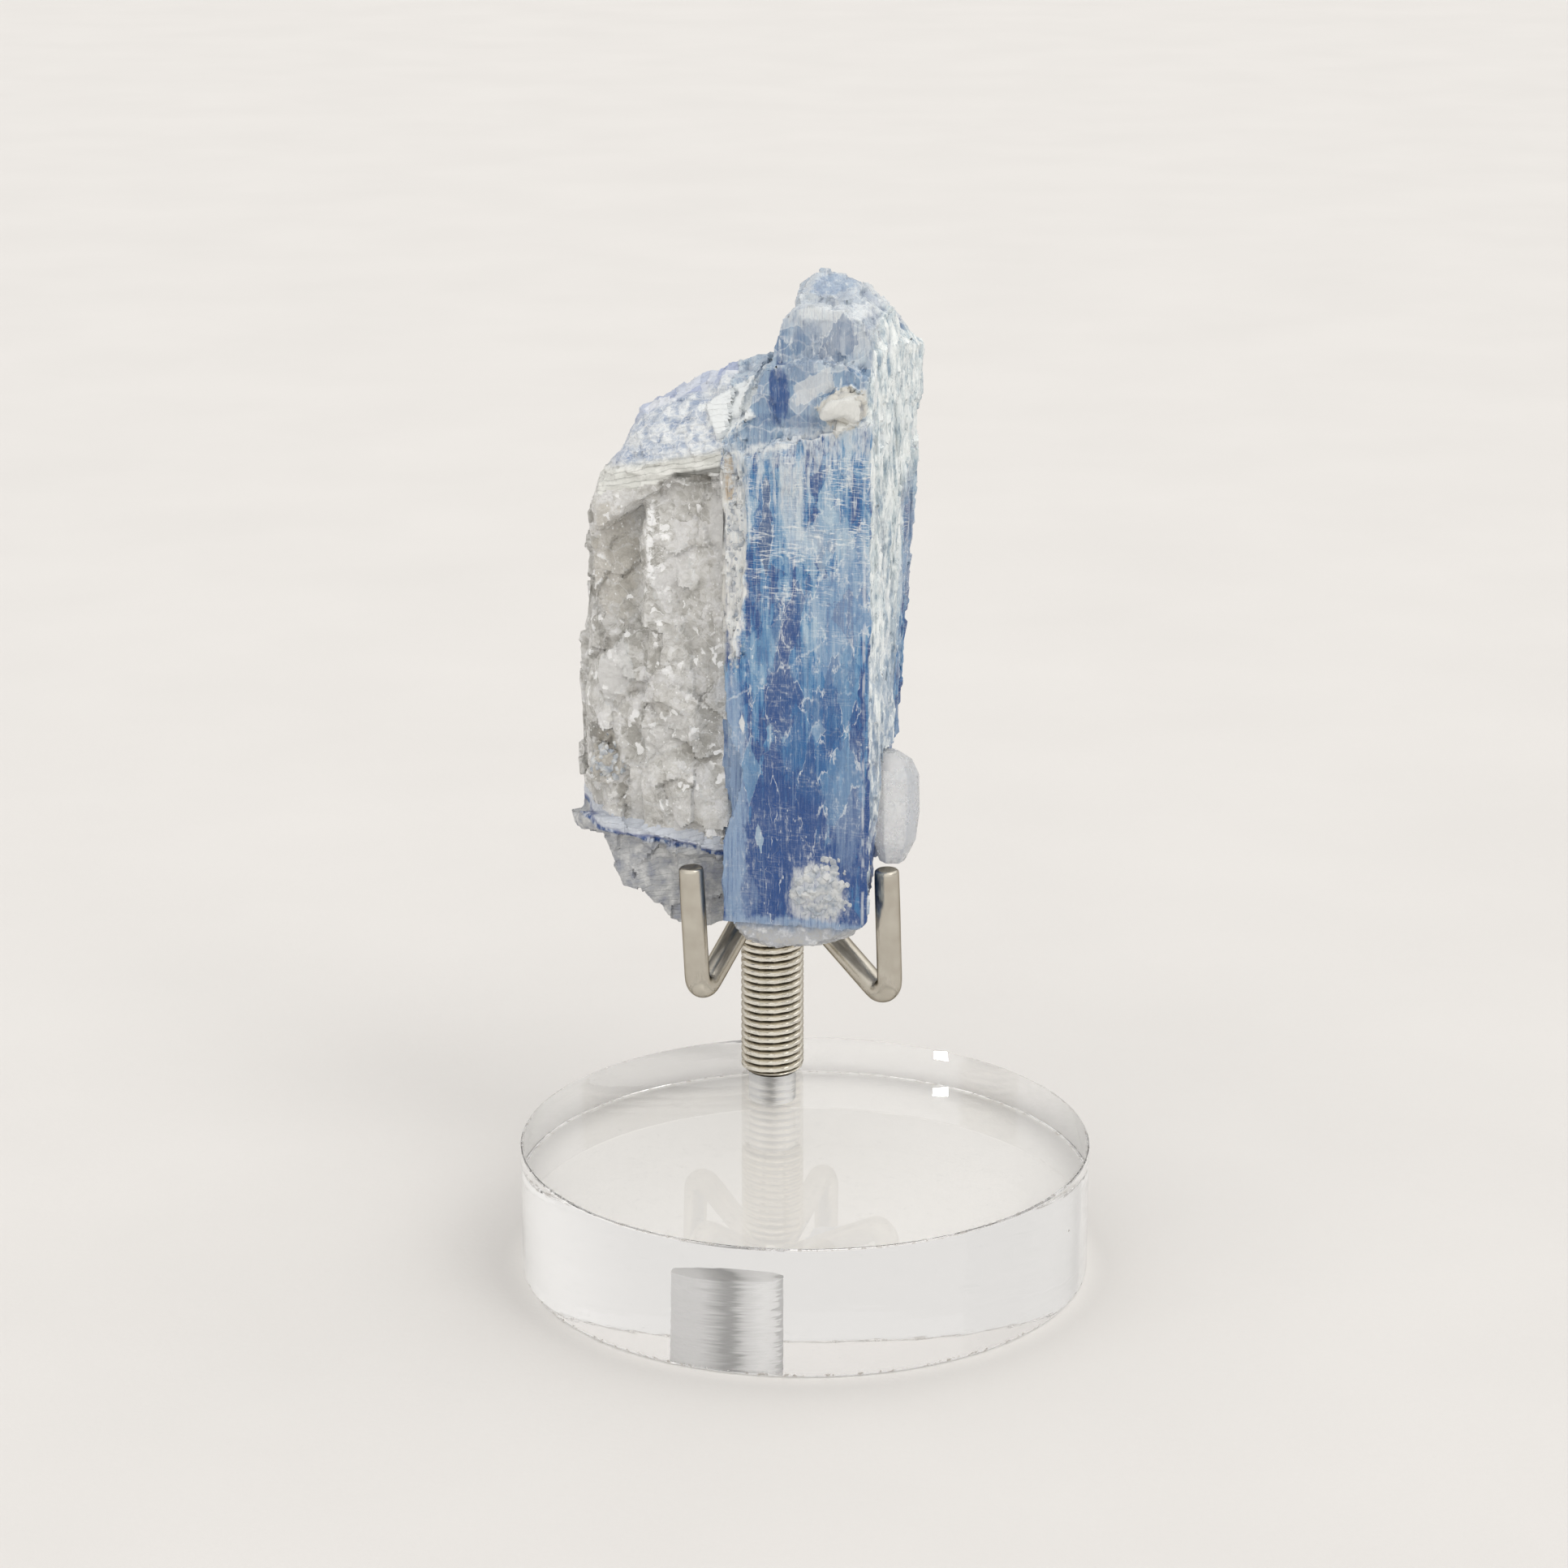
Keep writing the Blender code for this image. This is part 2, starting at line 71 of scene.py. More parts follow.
forward = Vector((
    math.sin(CAMERA_YAW) * math.cos(CAMERA_PITCH),
    math.cos(CAMERA_YAW) * math.cos(CAMERA_PITCH),
    -math.sin(CAMERA_PITCH),
))
rightward = Vector((math.cos(CAMERA_YAW), -math.sin(CAMERA_YAW), 0.0))
upward = rightward.cross(forward)
camera = bpy.data.objects.new("camera", bpy.data.cameras.new("camera"))
camera.data.lens = CAMERA_LENS
camera.data.sensor_width = 36.0
camera.data.clip_start = 0.01
camera.matrix_world = Matrix((rightward, upward, -forward)).transposed().to_4x4()
camera.matrix_world.translation = CAMERA_SPOT
bpy.context.scene.collection.objects.link(camera)
bpy.context.scene.camera = camera
print("camera at", [round(x, 4) for x in CAMERA_SPOT])

# %% [markdown]
# ## Colours as the eye names them
#
# Blender's shaders want linear light. It is easier to think in the 0 to 255 numbers of a screen, so one
# small function turns those into linear light, and every finish below uses it.


# %% Turn screen colours into linear light
def tint(red, green, blue):
    """A screen colour from 0 to 255 as the linear colour that a shader wants."""
    linear = [((c / 255 + 0.055) / 1.055) ** 2.4 for c in (red, green, blue)]
    return (*linear, 1.0)


# %% [markdown]
# ## Shader maths that reads as maths
#
# A material is a graph of nodes. Written node by node it soon hides what it does. The class below wraps
# one socket and takes part in sums, so that `1 - mask * 0.5` adds the right Math nodes. Any other node
# comes from its `node` method: the settings go in first, then the values or links of its sockets.


# %% Wrap a socket
class Wire:
    """One output socket of a material, which can be added, multiplied and shaped like a number."""

    def __init__(self, tree, socket):
        self.tree = tree
        self.socket = socket

    def node(self, kind, settings=None, sockets=None, take=0):
        """Adds a node and returns the output that take names or numbers."""
        made = self.tree.nodes.new(kind)
        for name, value in (settings or {}).items():
            if name == "stops":
                set_stops(made.color_ramp, value)
            else:
                setattr(made, name, value)
        for name, value in (sockets or {}).items():
            if isinstance(value, Wire):
                self.tree.links.new(value.socket, made.inputs[name])
            else:
                made.inputs[name].default_value = value
        return Wire(self.tree, made.outputs[take])

    def maths(self, operation, first, second=0.0):
        return self.node("ShaderNodeMath", {"operation": operation}, {0: first, 1: second})

    def __add__(self, other):
        return self.maths("ADD", self, other)

    __radd__ = __add__

    def __mul__(self, other):
        return self.maths("MULTIPLY", self, other)

    __rmul__ = __mul__

    def __sub__(self, other):
        return self.maths("SUBTRACT", self, other)

    def __rsub__(self, other):
        return self.maths("SUBTRACT", other, self)

    def __abs__(self):
        return self.maths("ABSOLUTE", self)

    def most(self, other):
        return self.maths("MAXIMUM", self, other)

    def least(self, other):
        return self.maths("MINIMUM", self, other)

    def step(self, low, high):
        """0 below low, 1 above high and smooth between them; low may be the larger of the two."""
        sockets = {"Value": self, "From Min": low, "From Max": high}
        return self.node("ShaderNodeMapRange", {"interpolation_type": "SMOOTHSTEP"}, sockets)

    def vector(self, operation, second=(0.0, 0.0, 0.0), take=0):
        return self.node("ShaderNodeVectorMath", {"operation": operation}, {0: self, 1: second}, take)

    def scaled(self, u, v, w):
        """A place with its three directions stretched."""
        return self.vector("MULTIPLY", (u, v, w))

    def axis(self, number):
        """One of the three numbers of a place."""
        return self.node("ShaderNodeSeparateXYZ", None, {0: self}, number)

    def noise(self, scale, detail=2.0, roughness=0.5, distortion=0.0):
        sockets = {"Vector": self, "Scale": scale, "Detail": detail, "Roughness": roughness}
        sockets["Distortion"] = distortion
        return self.node("ShaderNodeTexNoise", None, sockets)

    def sway(self, amount, detail=4.0, roughness=0.5):
        """Noise about 0, up to half the amount to either side."""
        return (self.noise(1.0, detail, roughness) - 0.5) * amount

    def cells(self, scale, feature="F1", take="Distance"):
        sockets = {"Vector": self, "Scale": scale}
        return self.node("ShaderNodeTexVoronoi", {"feature": feature}, sockets, take)

    def walls(self, width):
        """The thin walls between Voronoi cells."""
        return self.cells(1.0, "DISTANCE_TO_EDGE").step(width, 0.0)

    def warped(self, scale, amount):
        """The same place pushed about by a noise, so that straight patterns on it wander."""
        sockets = {"Vector": self, "Scale": scale, "Detail": 3.0}
        push = self.node("ShaderNodeTexNoise", None, sockets, "Color")
        sockets = {0: push, 1: (amount, amount, amount), 2: self}
        return self.node("ShaderNodeVectorMath", {"operation": "MULTIPLY_ADD"}, sockets)

    def slabs(self):
        """One random value from 0 to 1 for each Voronoi cell."""
        colour = self.cells(1.0, "F1", "Color")
        return self.node("ShaderNodeSeparateColor", None, {0: colour}, 0)

    def facets(self, scale):
        """Broken facets: every Voronoi cell slopes its own way, and the heights meet in sharp creases."""
        spot = self.scaled(scale, scale, scale)
        away = spot.vector("SUBTRACT", spot.cells(1.0, take="Position"))
        lean = spot.cells(1.0, take="Color").vector("SUBTRACT", (0.5, 0.5, 0.5))
        return away.vector("DOT_PRODUCT", lean, "Value")

    def threads(self, scale, width, detail=2.0, distortion=0.0):
        """Thin wandering lines: where a noise passes through its middle value."""
        return abs(self.noise(scale, detail, 0.5, distortion) - 0.5).step(width, 0.0)

    def ramp(self, *stops):
        """A colour ramp over this value, from (position, colour) stops."""
        return self.node("ShaderNodeValToRGB", {"stops": stops}, {"Fac": self}, "Color")

    def mixed(self, below, above):
        """The colour below where this mask is 0, and above where it is 1."""
        sockets = {0: self, 6: below, 7: above}
        return self.node("ShaderNodeMix", {"data_type": "RGBA"}, sockets, 2)


def set_stops(ramp, stops):
    while len(ramp.elements) < len(stops):
        ramp.elements.new(0.5)
    for element, (position, colour) in zip(ramp.elements, stops):
        element.position = position
        element.color = colour


# %% [markdown]
# ## One way to start a finish
#
# Each finish begins with a Principled shader and a place to read patterns from. Patterns are read in the
# object's own millimetres, never in camera or window coordinates, so that they stay put from every side.
# What is the same all over is set on the shader's own sockets.


# %% Start a finish
class Finish:
    """A material with its Principled shader, and the place on the object in millimetres."""

    def __init__(self, name, **uniform):
        self.material = bpy.data.materials.new(name)
        self.material.use_nodes = True
        self.tree = self.material.node_tree
        self.shader = self.tree.nodes["Principled BSDF"]
        for socket, value in uniform.items():
            self.shader.inputs[socket.replace("_", " ")].default_value = value
        start = Wire(self.tree, None)
        self.spot = start.node("ShaderNodeTexCoord", take="Object").scaled(1 / MM, 1 / MM, 1 / MM)

    def feed(self, socket, wire):
        self.tree.links.new(wire.socket, self.shader.inputs[socket])

    def bump(self, height, distance):
        """Raises the surface by a height pattern; distance is its full depth in millimetres."""
        sockets = {"Height": height, "Distance": distance * MM, "Strength": 1.0}
        self.feed("Normal", height.node("ShaderNodeBump", None, sockets))

    def relief(self):
        """How far each point of the mesh was raised, which the relief stores on the points."""
        return self.spot.node("ShaderNodeAttribute", {"attribute_name": "relief"}, take="Fac")


# %% [markdown]
# ## The stone's own axes
#
# The big kyanite blade faces a little to the left of the camera. We give the stone axes of its own: u runs
# to the right along the blade's face, v goes into its depth and w goes up. Every crystal pattern is then
# simple to say: kyanite splits along w, so its streaks are long in w and short in u and v.

# %% Change between the frame and the stone
STONE_TURN = math.radians(-15)
STONE_CORNER = Vector((7.7, 2.0, 0.0))
TURN_COS = math.cos(STONE_TURN)
TURN_SIN = math.sin(STONE_TURN)


def to_stone(points):
    """An array of places in metres as u, v and w in millimetres."""
    flat = points / MM - np.array(STONE_CORNER)
    u = flat[:, 0] * TURN_COS + flat[:, 1] * TURN_SIN
    v = flat[:, 1] * TURN_COS - flat[:, 0] * TURN_SIN
    return np.stack([u, v, flat[:, 2]], 1)


def from_stone(u, v, w):
    """One place in the stone's axes as a place in the frame, in metres."""
    x = u * TURN_COS - v * TURN_SIN + STONE_CORNER.x
    y = u * TURN_SIN + v * TURN_COS + STONE_CORNER.y
    return Vector((x, y, w)) * MM


def stone_axes(finish):
    """The place wire of a finish turned into the stone's axes, and its three separate wires."""
    back = Matrix.Rotation(-STONE_TURN, 3, "Z") @ STONE_CORNER
    sockets = {"Vector": finish.spot, "Location": -back, "Rotation": (0.0, 0.0, -STONE_TURN)}
    place = finish.spot.node("ShaderNodeMapping", None, sockets)
    return place, [place.axis(number) for number in range(3)]


low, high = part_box("kyanite_specimen")
print("stone is", [round(x / MM, 1) for x in high - low], "mm")

# %% [markdown]
# ## Where the blade is deeper, paler or stained
#
# A real stone isn't the same all over. Its dark streaks, pale plates and stained spots each have a place,
# so they are lists, in the stone's own millimetres. Soft ovals make stains and bruises. Leaning diamonds
# with a thin bright rim make cleavage plates, which kyanite shows as pale or dark shards.

# %% Patches on the stone
DEEP = tint(10, 66, 130)
BLUE = tint(46, 112, 166)
SKY = tint(108, 150, 186)
PALE = tint(166, 189, 207)
LILAC = tint(134, 158, 188)
FROST = tint(230, 234, 235)
SLATE = tint(74, 104, 144)
CREAM = tint(236, 235, 230)
RUST = tint(186, 168, 142)
MIST = tint(216, 218, 218)

# Centre along u and w, half sizes along u and w, how solid, and the colour.
BLADE_PATCHES = (
    ((-8.6, 54.0), (5.4, 13.0), 0.60, DEEP),
    ((-10.6, 79.5), (1.4, 4.0), 0.75, DEEP),
    ((-10.9, 70.6), (2.0, 5.0), 0.95, DEEP),
    ((-11.6, 60.0), (1.1, 6.0), 0.95, DEEP),
    ((-11.9, 48.6), (1.6, 5.0), 0.95, DEEP),
    ((-7.0, 68.0), (4.4, 10.0), 0.55, BLUE),
    ((-17.2, 57.0), (2.0, 18.0), 0.90, LILAC),
    ((-15.6, 45.0), (1.8, 3.0), 0.35, LILAC),
    ((-9.6, 95.6), (1.6, 4.2), 0.35, MIST),
    ((-8.0, 90.2), (2.4, 1.6), 0.35, FROST),
    ((-2.6, 58.0), (1.9, 9.0), 0.45, LILAC),
    ((-6.4, 45.4), (3.6, 4.6), 0.75, MIST),
    ((-9.0, 41.2), (12.0, 1.8), 0.85, LILAC),
    ((-17.0, 87.0), (1.7, 12.6), 0.92, CREAM),
    ((-17.8, 97.4), (0.7, 3.0), 0.95, RUST),
    ((-11.6, 107.6), (1.3, 3.6), 0.90, DEEP),
    ((-10.6, 104.4), (4.4, 0.9), 0.50, SLATE),
    ((-3.0, 118.0), (9.0, 6.0), 0.50, MIST),
    ((-7.0, 119.4), (2.6, 0.9), 0.40, BLUE),
    ((-5.4, 116.9), (5.0, 0.8), 0.60, FROST),
    ((-8.6, 112.4), (2.0, 3.6), 0.45, SLATE),
)

# Centre, half sizes, how far each leans to the right as it rises, how solid, and the colour.
BLADE_SHARDS = (
    ((-3.4, 82.0), (4.2, 9.5), 0.45, 0.45, LILAC),
    ((-12.6, 76.0), (3.0, 6.0), 0.60, 0.35, SKY),
    ((-3.8, 61.0), (2.6, 7.0), 0.50, 0.45, SKY),
    ((-10.8, 71.0), (2.2, 7.5), 0.10, 0.75, DEEP),
    ((-12.0, 58.0), (0.6, 5.0), 0.00, 0.90, DEEP),
    ((-11.9, 48.0), (1.2, 5.8), 0.00, 0.90, DEEP),
    ((-7.4, 58.0), (1.7, 8.5), 0.10, 0.55, DEEP),
    ((-12.8, 91.6), (1.0, 6.4), 0.00, 0.90, tint(52, 84, 130)),
    ((-10.2, 77.6), (1.1, 3.2), 0.20, 0.85, DEEP),
    ((-4.6, 69.6), (3.4, 6.4), 0.20, 0.40, DEEP),
    ((-9.4, 80.6), (1.5, 4.2), 0.30, 0.60, DEEP),
    ((-14.9, 61.0), (1.1, 5.6), 0.10, 0.60, SKY),
    ((-5.2, 91.0), (3.2, 4.4), 0.30, 0.50, PALE),
    ((-2.8, 73.0), (1.5, 6.4), 0.20, 0.50, SKY),
    ((-15.8, 67.2), (0.5, 1.7), -0.30, 0.90, MIST),
    ((-13.7, 52.8), (0.6, 1.8), -0.30, 0.75, PALE),
    ((-6.3, 67.0), (1.0, 1.6), 0.20, 0.35, PALE),
    ((-7.4, 108.6), (3.0, 2.4), 0.70, 0.60, MIST),
    ((-4.6, 113.6), (2.6, 3.0), 0.10, 0.50, SLATE),
)

# Clean pale plates that lie over everything else: the cream chunk and a flake across the two minerals.
FLAKES = (
    ((-3.4, 106.2), (4.0, 3.2), 0.20, 0.92, tint(210, 207, 198)),
    ((-18.2, 104.7), (3.9, 3.6), 0.40, 0.95, FROST),
)

# The front blade ends in a broken lip: its height at u = 0, and how much it climbs to the right.
LIP_HEIGHT = 105.0
LIP_CLIMB = 0.30
print(len(BLADE_PATCHES), "patches,", len(BLADE_SHARDS), "shards and", len(FLAKES), "flakes")

# %% [markdown]
# A patch is a mask: the distance from its centre, counted in its own half sizes, with a noise added so
# that the rim is ragged. Diamonds add the two distances, ovals add their squares.


# %% Mix the patches over a colour
def patched(colour, u, w, wobble, patches):
    """Lays soft-edged oval patches, their rims broken by a wobble, over a colour."""
    for (centre_u, centre_w), (half_u, half_w), strength, patch in patches:
        across = (u - centre_u) * (1 / half_u)
        along = (w - centre_w) * (1 / half_w)
        far = across * across + along * along + wobble
        colour = (far.step(1.3, 0.55) * strength).mixed(colour, patch)
    return colour


def sharded(colour, u, w, wobble, broken, shards):
    """Lays leaning pointed shards, each with a thin, broken bright rim, over a colour."""
    for (centre_u, centre_w), (half_u, half_w), lean, strength, shard in shards:
        along = (w - centre_w) * (1 / half_w)
        across = (u - centre_u) * (1 / half_u) - along * lean
        far = abs(across) + abs(along) + wobble
        colour = (far.step(1.04, 0.92) * strength).mixed(colour, shard)
        colour = (abs(far - 1.0).step(0.08, 0.0) * broken).mixed(colour, FROST)
    return colour


# %% [markdown]
# ## Kyanite, streaked and hazed
#
# Kyanite is blue in uneven bands along its length, with pearly streaks, pale hairline cracks across the
# blade and a white haze where the surface is bruised. The blue comes from noises of several widths, all
# stretched along w, through one ramp. Hairlines come from a trick: the places where a noise passes through
# its middle value form thin curves, and stretching that noise turns them into cross cracks or splits.


# %% Kyanite colour
def kyanite_blue(place, w):
    """The streaked blue of the blades, the height pattern that belongs to it, and its broken plates."""
    bands = place.scaled(0.50, 0.4, 0.04).noise(1.0, 3.0, 0.55)
    streaks = place.scaled(3.0, 2.6, 0.12).noise(1.0, 5.0, 0.62)
    fibres = place.scaled(9.0, 7.0, 0.5).noise(1.0, 3.0, 0.6)
    stripes = place.scaled(1.2, 1.0, 0.08).noise(1.0, 3.0, 0.5).step(0.42, 0.58)
    bent = place.warped(0.35, 2.6)
    plates = bent.scaled(0.36, 0.4, 0.15)
    chips = bent.scaled(1.1, 0.9, 0.45).slabs()
    slabs = plates.slabs()
    high_up = w.step(70.0, 100.0)
    depth = bands * 0.95 + streaks * 0.45 + fibres * 0.20 + slabs * 0.28 + chips * 0.22 - 0.565
    depth = depth + high_up * 0.03 + (stripes - 0.5) * (0.22 - high_up * 0.10)
    colour = (depth - w.step(74.0, 52.0) * 0.42).ramp((0.30, DEEP), (0.46, BLUE), (0.59, SKY), (0.76, PALE))
    height = streaks * 0.5 + fibres * 0.3 + slabs * 0.7 + chips * 0.4
    return colour, height, plates


def blade_white(place, w, plates):
    """How much white lies over the blue: haze, wisps, long cross cracks, plate rims and specks."""
    high_up = w.step(72.0, 92.0)
    haze = place.scaled(0.24, 0.3, 0.13).noise(1.0, 7.0, 0.7).step(0.43, 0.64)
    wisps = place.scaled(2.2, 2.0, 0.8).noise(1.0, 6.0, 0.66).step(0.48, 0.68)
    here = place.scaled(0.20, 0.25, 0.40).noise(1.0, 3.0).step(0.42, 0.58)
    here = here * w.step(104.0, 99.0)
    cross = place.warped(0.4, 0.6).scaled(0.22, 0.3, 1.9).threads(1.0, 0.045, 2.0) * here
    finer = place.scaled(0.30, 0.3, 4.4).threads(1.0, 0.07, 3.0) * w.step(104.0, 99.0)
    rims = plates.walls(0.035) * here
    splits = place.scaled(4.6, 3.6, 0.18).threads(1.0, 0.03, 2.0)
    flecks = place.scaled(1.5, 1.3, 0.7).cells(1.0).step(0.16, 0.06) * here
    white = haze * 0.10 + wisps * (haze * 0.40 + high_up * 0.20 + 0.04) + rims * 0.14 + splits * 0.16
    white = white + cross * (high_up * 0.40 + 0.16) + finer * (high_up * 0.18 + 0.05) + flecks * 0.45
    return white, haze


def below_lip(place, u, w):
    """Millimetres above the broken lip of the front blade, less than 0 below it."""
    return w - u * LIP_CLIMB - LIP_HEIGHT + place.scaled(0.9, 0.6, 0.3).sway(3.0, 5.0, 0.65)


def crowned(colour, place, u, v, w):
    """Above the lip the crystal is pale grey-lilac plates; white drips hang from the lip over the blue."""
    rise = below_lip(place, u, w)
    scales = place.warped(0.30, 3.0).scaled(0.30, 0.35, 0.42)
    fibres = place.scaled(3.4, 3.0, 0.4).noise(1.0, 4.0, 0.6)
    tone = scales.slabs() * 0.6 + fibres * 0.6 - 0.1
    pale = tone.ramp((0.1, tint(110, 138, 168)), (0.4, tint(150, 170, 190)), (0.8, tint(200, 209, 216)))
    pale = (scales.walls(0.06) * 0.6).mixed(pale, FROST)
    colour = (rise.step(-0.3, 0.6) * 0.8).mixed(colour, pale)
    hanging = place.scaled(1.3, 0.6, 0.14).noise(1.0, 5.0, 0.62)
    ragged = place.scaled(2.6, 2.2, 0.9).noise(1.0, 4.0, 0.6).step(0.30, 0.62)
    drips = (hanging + rise * 0.020).step(0.38, 0.45) * rise.step(0.8, 0.0) * v.step(3.0, 1.6)
    colour = (drips * (ragged * 0.65 + 0.20)).mixed(colour, tint(204, 212, 218))
    return (abs(rise).step(0.55, 0.05) * v.step(3.0, 1.6) * 0.8).mixed(colour, FROST)


# %% [markdown]
# ## Milky quartz
#
# The quartz is warm grey and glassy, with white healed cracks and a few painted highlights where a facet
# would catch the window. Every Voronoi cell gets its own slope and its own tone, and the tone runs from
# dark to light
# across the cell: painted shading of a tilted facet. This reads as broken glass, and a little transmission
# and subsurface light keep it from looking like plaster.

# %% Quartz colour
MILK = tint(246, 246, 245)
SMOKE = tint(192, 190, 184)
STAIN = tint(220, 215, 204)
# White for the healed cracks, the top of the tone and the painted highlights.
SPARK = tint(255, 255, 255)

QUARTZ_PATCHES = (
    ((-33.8, 85.0), (3.2, 8.0), 0.65, STAIN),
    ((-34.6, 60.4), (2.2, 3.4), 0.70, STAIN),
    ((-20.6, 70.0), (0.8, 12.0), 0.40, SMOKE),
    ((-19.5, 91.0), (1.2, 7.6), 0.85, MILK),
    ((-24.0, 95.4), (5.0, 1.6), 0.40, SMOKE),
)
QUARTZ_SHARDS = (
    ((-33.2, 71.4), (3.0, 4.4), 0.30, 0.80, MILK),
    ((-25.4, 84.0), (3.0, 4.4), 0.50, 0.50, MILK),
    ((-26.2, 64.2), (4.0, 3.2), 0.60, 0.50, MILK),
    ((-22.4, 76.0), (2.6, 3.6), -0.50, 0.35, SMOKE),
    ((-24.0, 55.0), (3.6, 3.0), 0.40, 0.40, MILK),
    ((-30.6, 54.6), (2.6, 2.6), -0.30, 0.30, SMOKE),
)


def quartz_colour(place, u, v, w):
    """Clouded warm grey in glassy facets with painted facet shading, crossed by white healed cracks, with
    painted highlights; and its height pattern.
    """
    clouds = place.scaled(0.3, 0.3, 0.26).noise(1.0, 6.0, 0.6)
    wobble = place.scaled(0.7, 0.7, 0.6).sway(3.0, 5.0, 0.65)
    bent = place.warped(0.5, 2.4)
    busy = place.noise(0.28, 2.0).step(0.42, 0.58)
    # Each facet's tone runs from dark to light across it: painted shading of a tilted facet. The same
    # pattern also feeds the bump.
    panes = bent.facets(0.21) * 0.55 + bent.facets(0.55) * 0.32 + bent.facets(1.1) * (busy * 0.25 + 0.04)
    ripples = place.warped(0.6, 3.0).scaled(0.8, 0.8, 1.4).noise(1.0, 8.0, 0.74)
    tone = clouds * 0.60 + panes + ripples * 0.62 - 0.135
    colour = tone.ramp((0.24, tint(190, 188, 182)), (0.44, tint(232, 231, 227)), (0.64, SPARK))
    broken = ripples.step(0.40, 0.60) * 0.7
    colour = sharded(colour, u, w, wobble * 0.3, broken, QUARTZ_SHARDS)
    colour = patched(colour, u, w, wobble, QUARTZ_PATCHES)
    veils = bent.scaled(0.3, 0.3, 0.26).walls(0.024)
    veils = veils.most(ripples.maths("PINGPONG", ripples * 6.0, 0.5).step(0.08, 0.0) * 0.45)
    # Painted highlights: small white glints, a lit vertical edge and a lit face next to it. They whiten the
    # colour and feed the emission.
    painted_glints = place.scaled(1.7, 1.7, 1.4).cells(1.0).step(0.22, 0.10) * clouds.step(0.46, 0.58)
    edge = abs(u + 28.1 + wobble * 0.15).step(0.7, 0.2) * abs(w - 88.0).step(5.6, 4.0) * v.step(5.0, 4.0)
    painted_lit_face = u.step(-28.4, -27.6) * u.step(-24.6, -26.6) * abs(w - 89.0).step(5.0, 2.0)
    glints = bent.scaled(1.6, 1.6, 1.0).slabs().step(0.90, 0.93) * busy
    painted_glints = painted_glints.most(edge * ripples.step(0.44, 0.54)).most(painted_lit_face.least(ripples.step(0.50, 0.60)))
    painted_glints = painted_glints.most(glints * 0.8)
    colour = (veils * 0.6).most(painted_glints * 0.9).mixed(colour, SPARK)
    height = bent.facets(0.21) * 1.5 + panes * 0.9 + ripples * 0.8
    return colour, height, clouds, painted_glints


# %% [markdown]
# ## The blades' finish
#
# From below to above: the streaked blue, the pale crown over the lip, stains, fibres, shards, white cracks
# and flakes. The right side face has a pale mint splinter skin of its own, and the foot is grey quartz.
# The height that the relief stored on the points whitens crests a little and paints a little shade into the
# hollows.


# %% Side face and foot of the blades
def mint_side(place, w):
    """The pale, lumpy splinter skin of the right side face, with painted shade in its creases."""
    lumps = place.warped(0.8, 1.0).scaled(0.9, 0.8, 0.28).noise(1.0, 7.0, 0.68)
    mint = lumps.ramp((0.33, tint(136, 158, 178)), (0.43, tint(202, 213, 217)), (0.56, tint(244, 248, 247)))
    # Painted shade: thin dark lines where the creases of the side face lie in shadow.
    shaded_crevice = place.scaled(0.9, 0.8, 0.13).threads(1.0, 0.016, 3.0, 0.2)
    mint = (shaded_crevice * 0.65).mixed(mint, tint(122, 140, 152))
    return (w.step(88.0, 62.0) * lumps.step(0.62, 0.44) * 0.65).mixed(mint, tint(128, 152, 182))


def grey_foot(colour, place, w):
    """Below w = 41 the stone ends in grey quartz."""
    foot = (w + place.scaled(0.5, 0.5, 0.5).sway(3.0, 3.0)).step(42.4, 40.6)
    grey = place.noise(0.9, 5.0, 0.65).ramp((0.35, SMOKE), (0.5, tint(186, 188, 192)), (0.66, MILK))
    return (foot * 0.9).mixed(colour, grey)


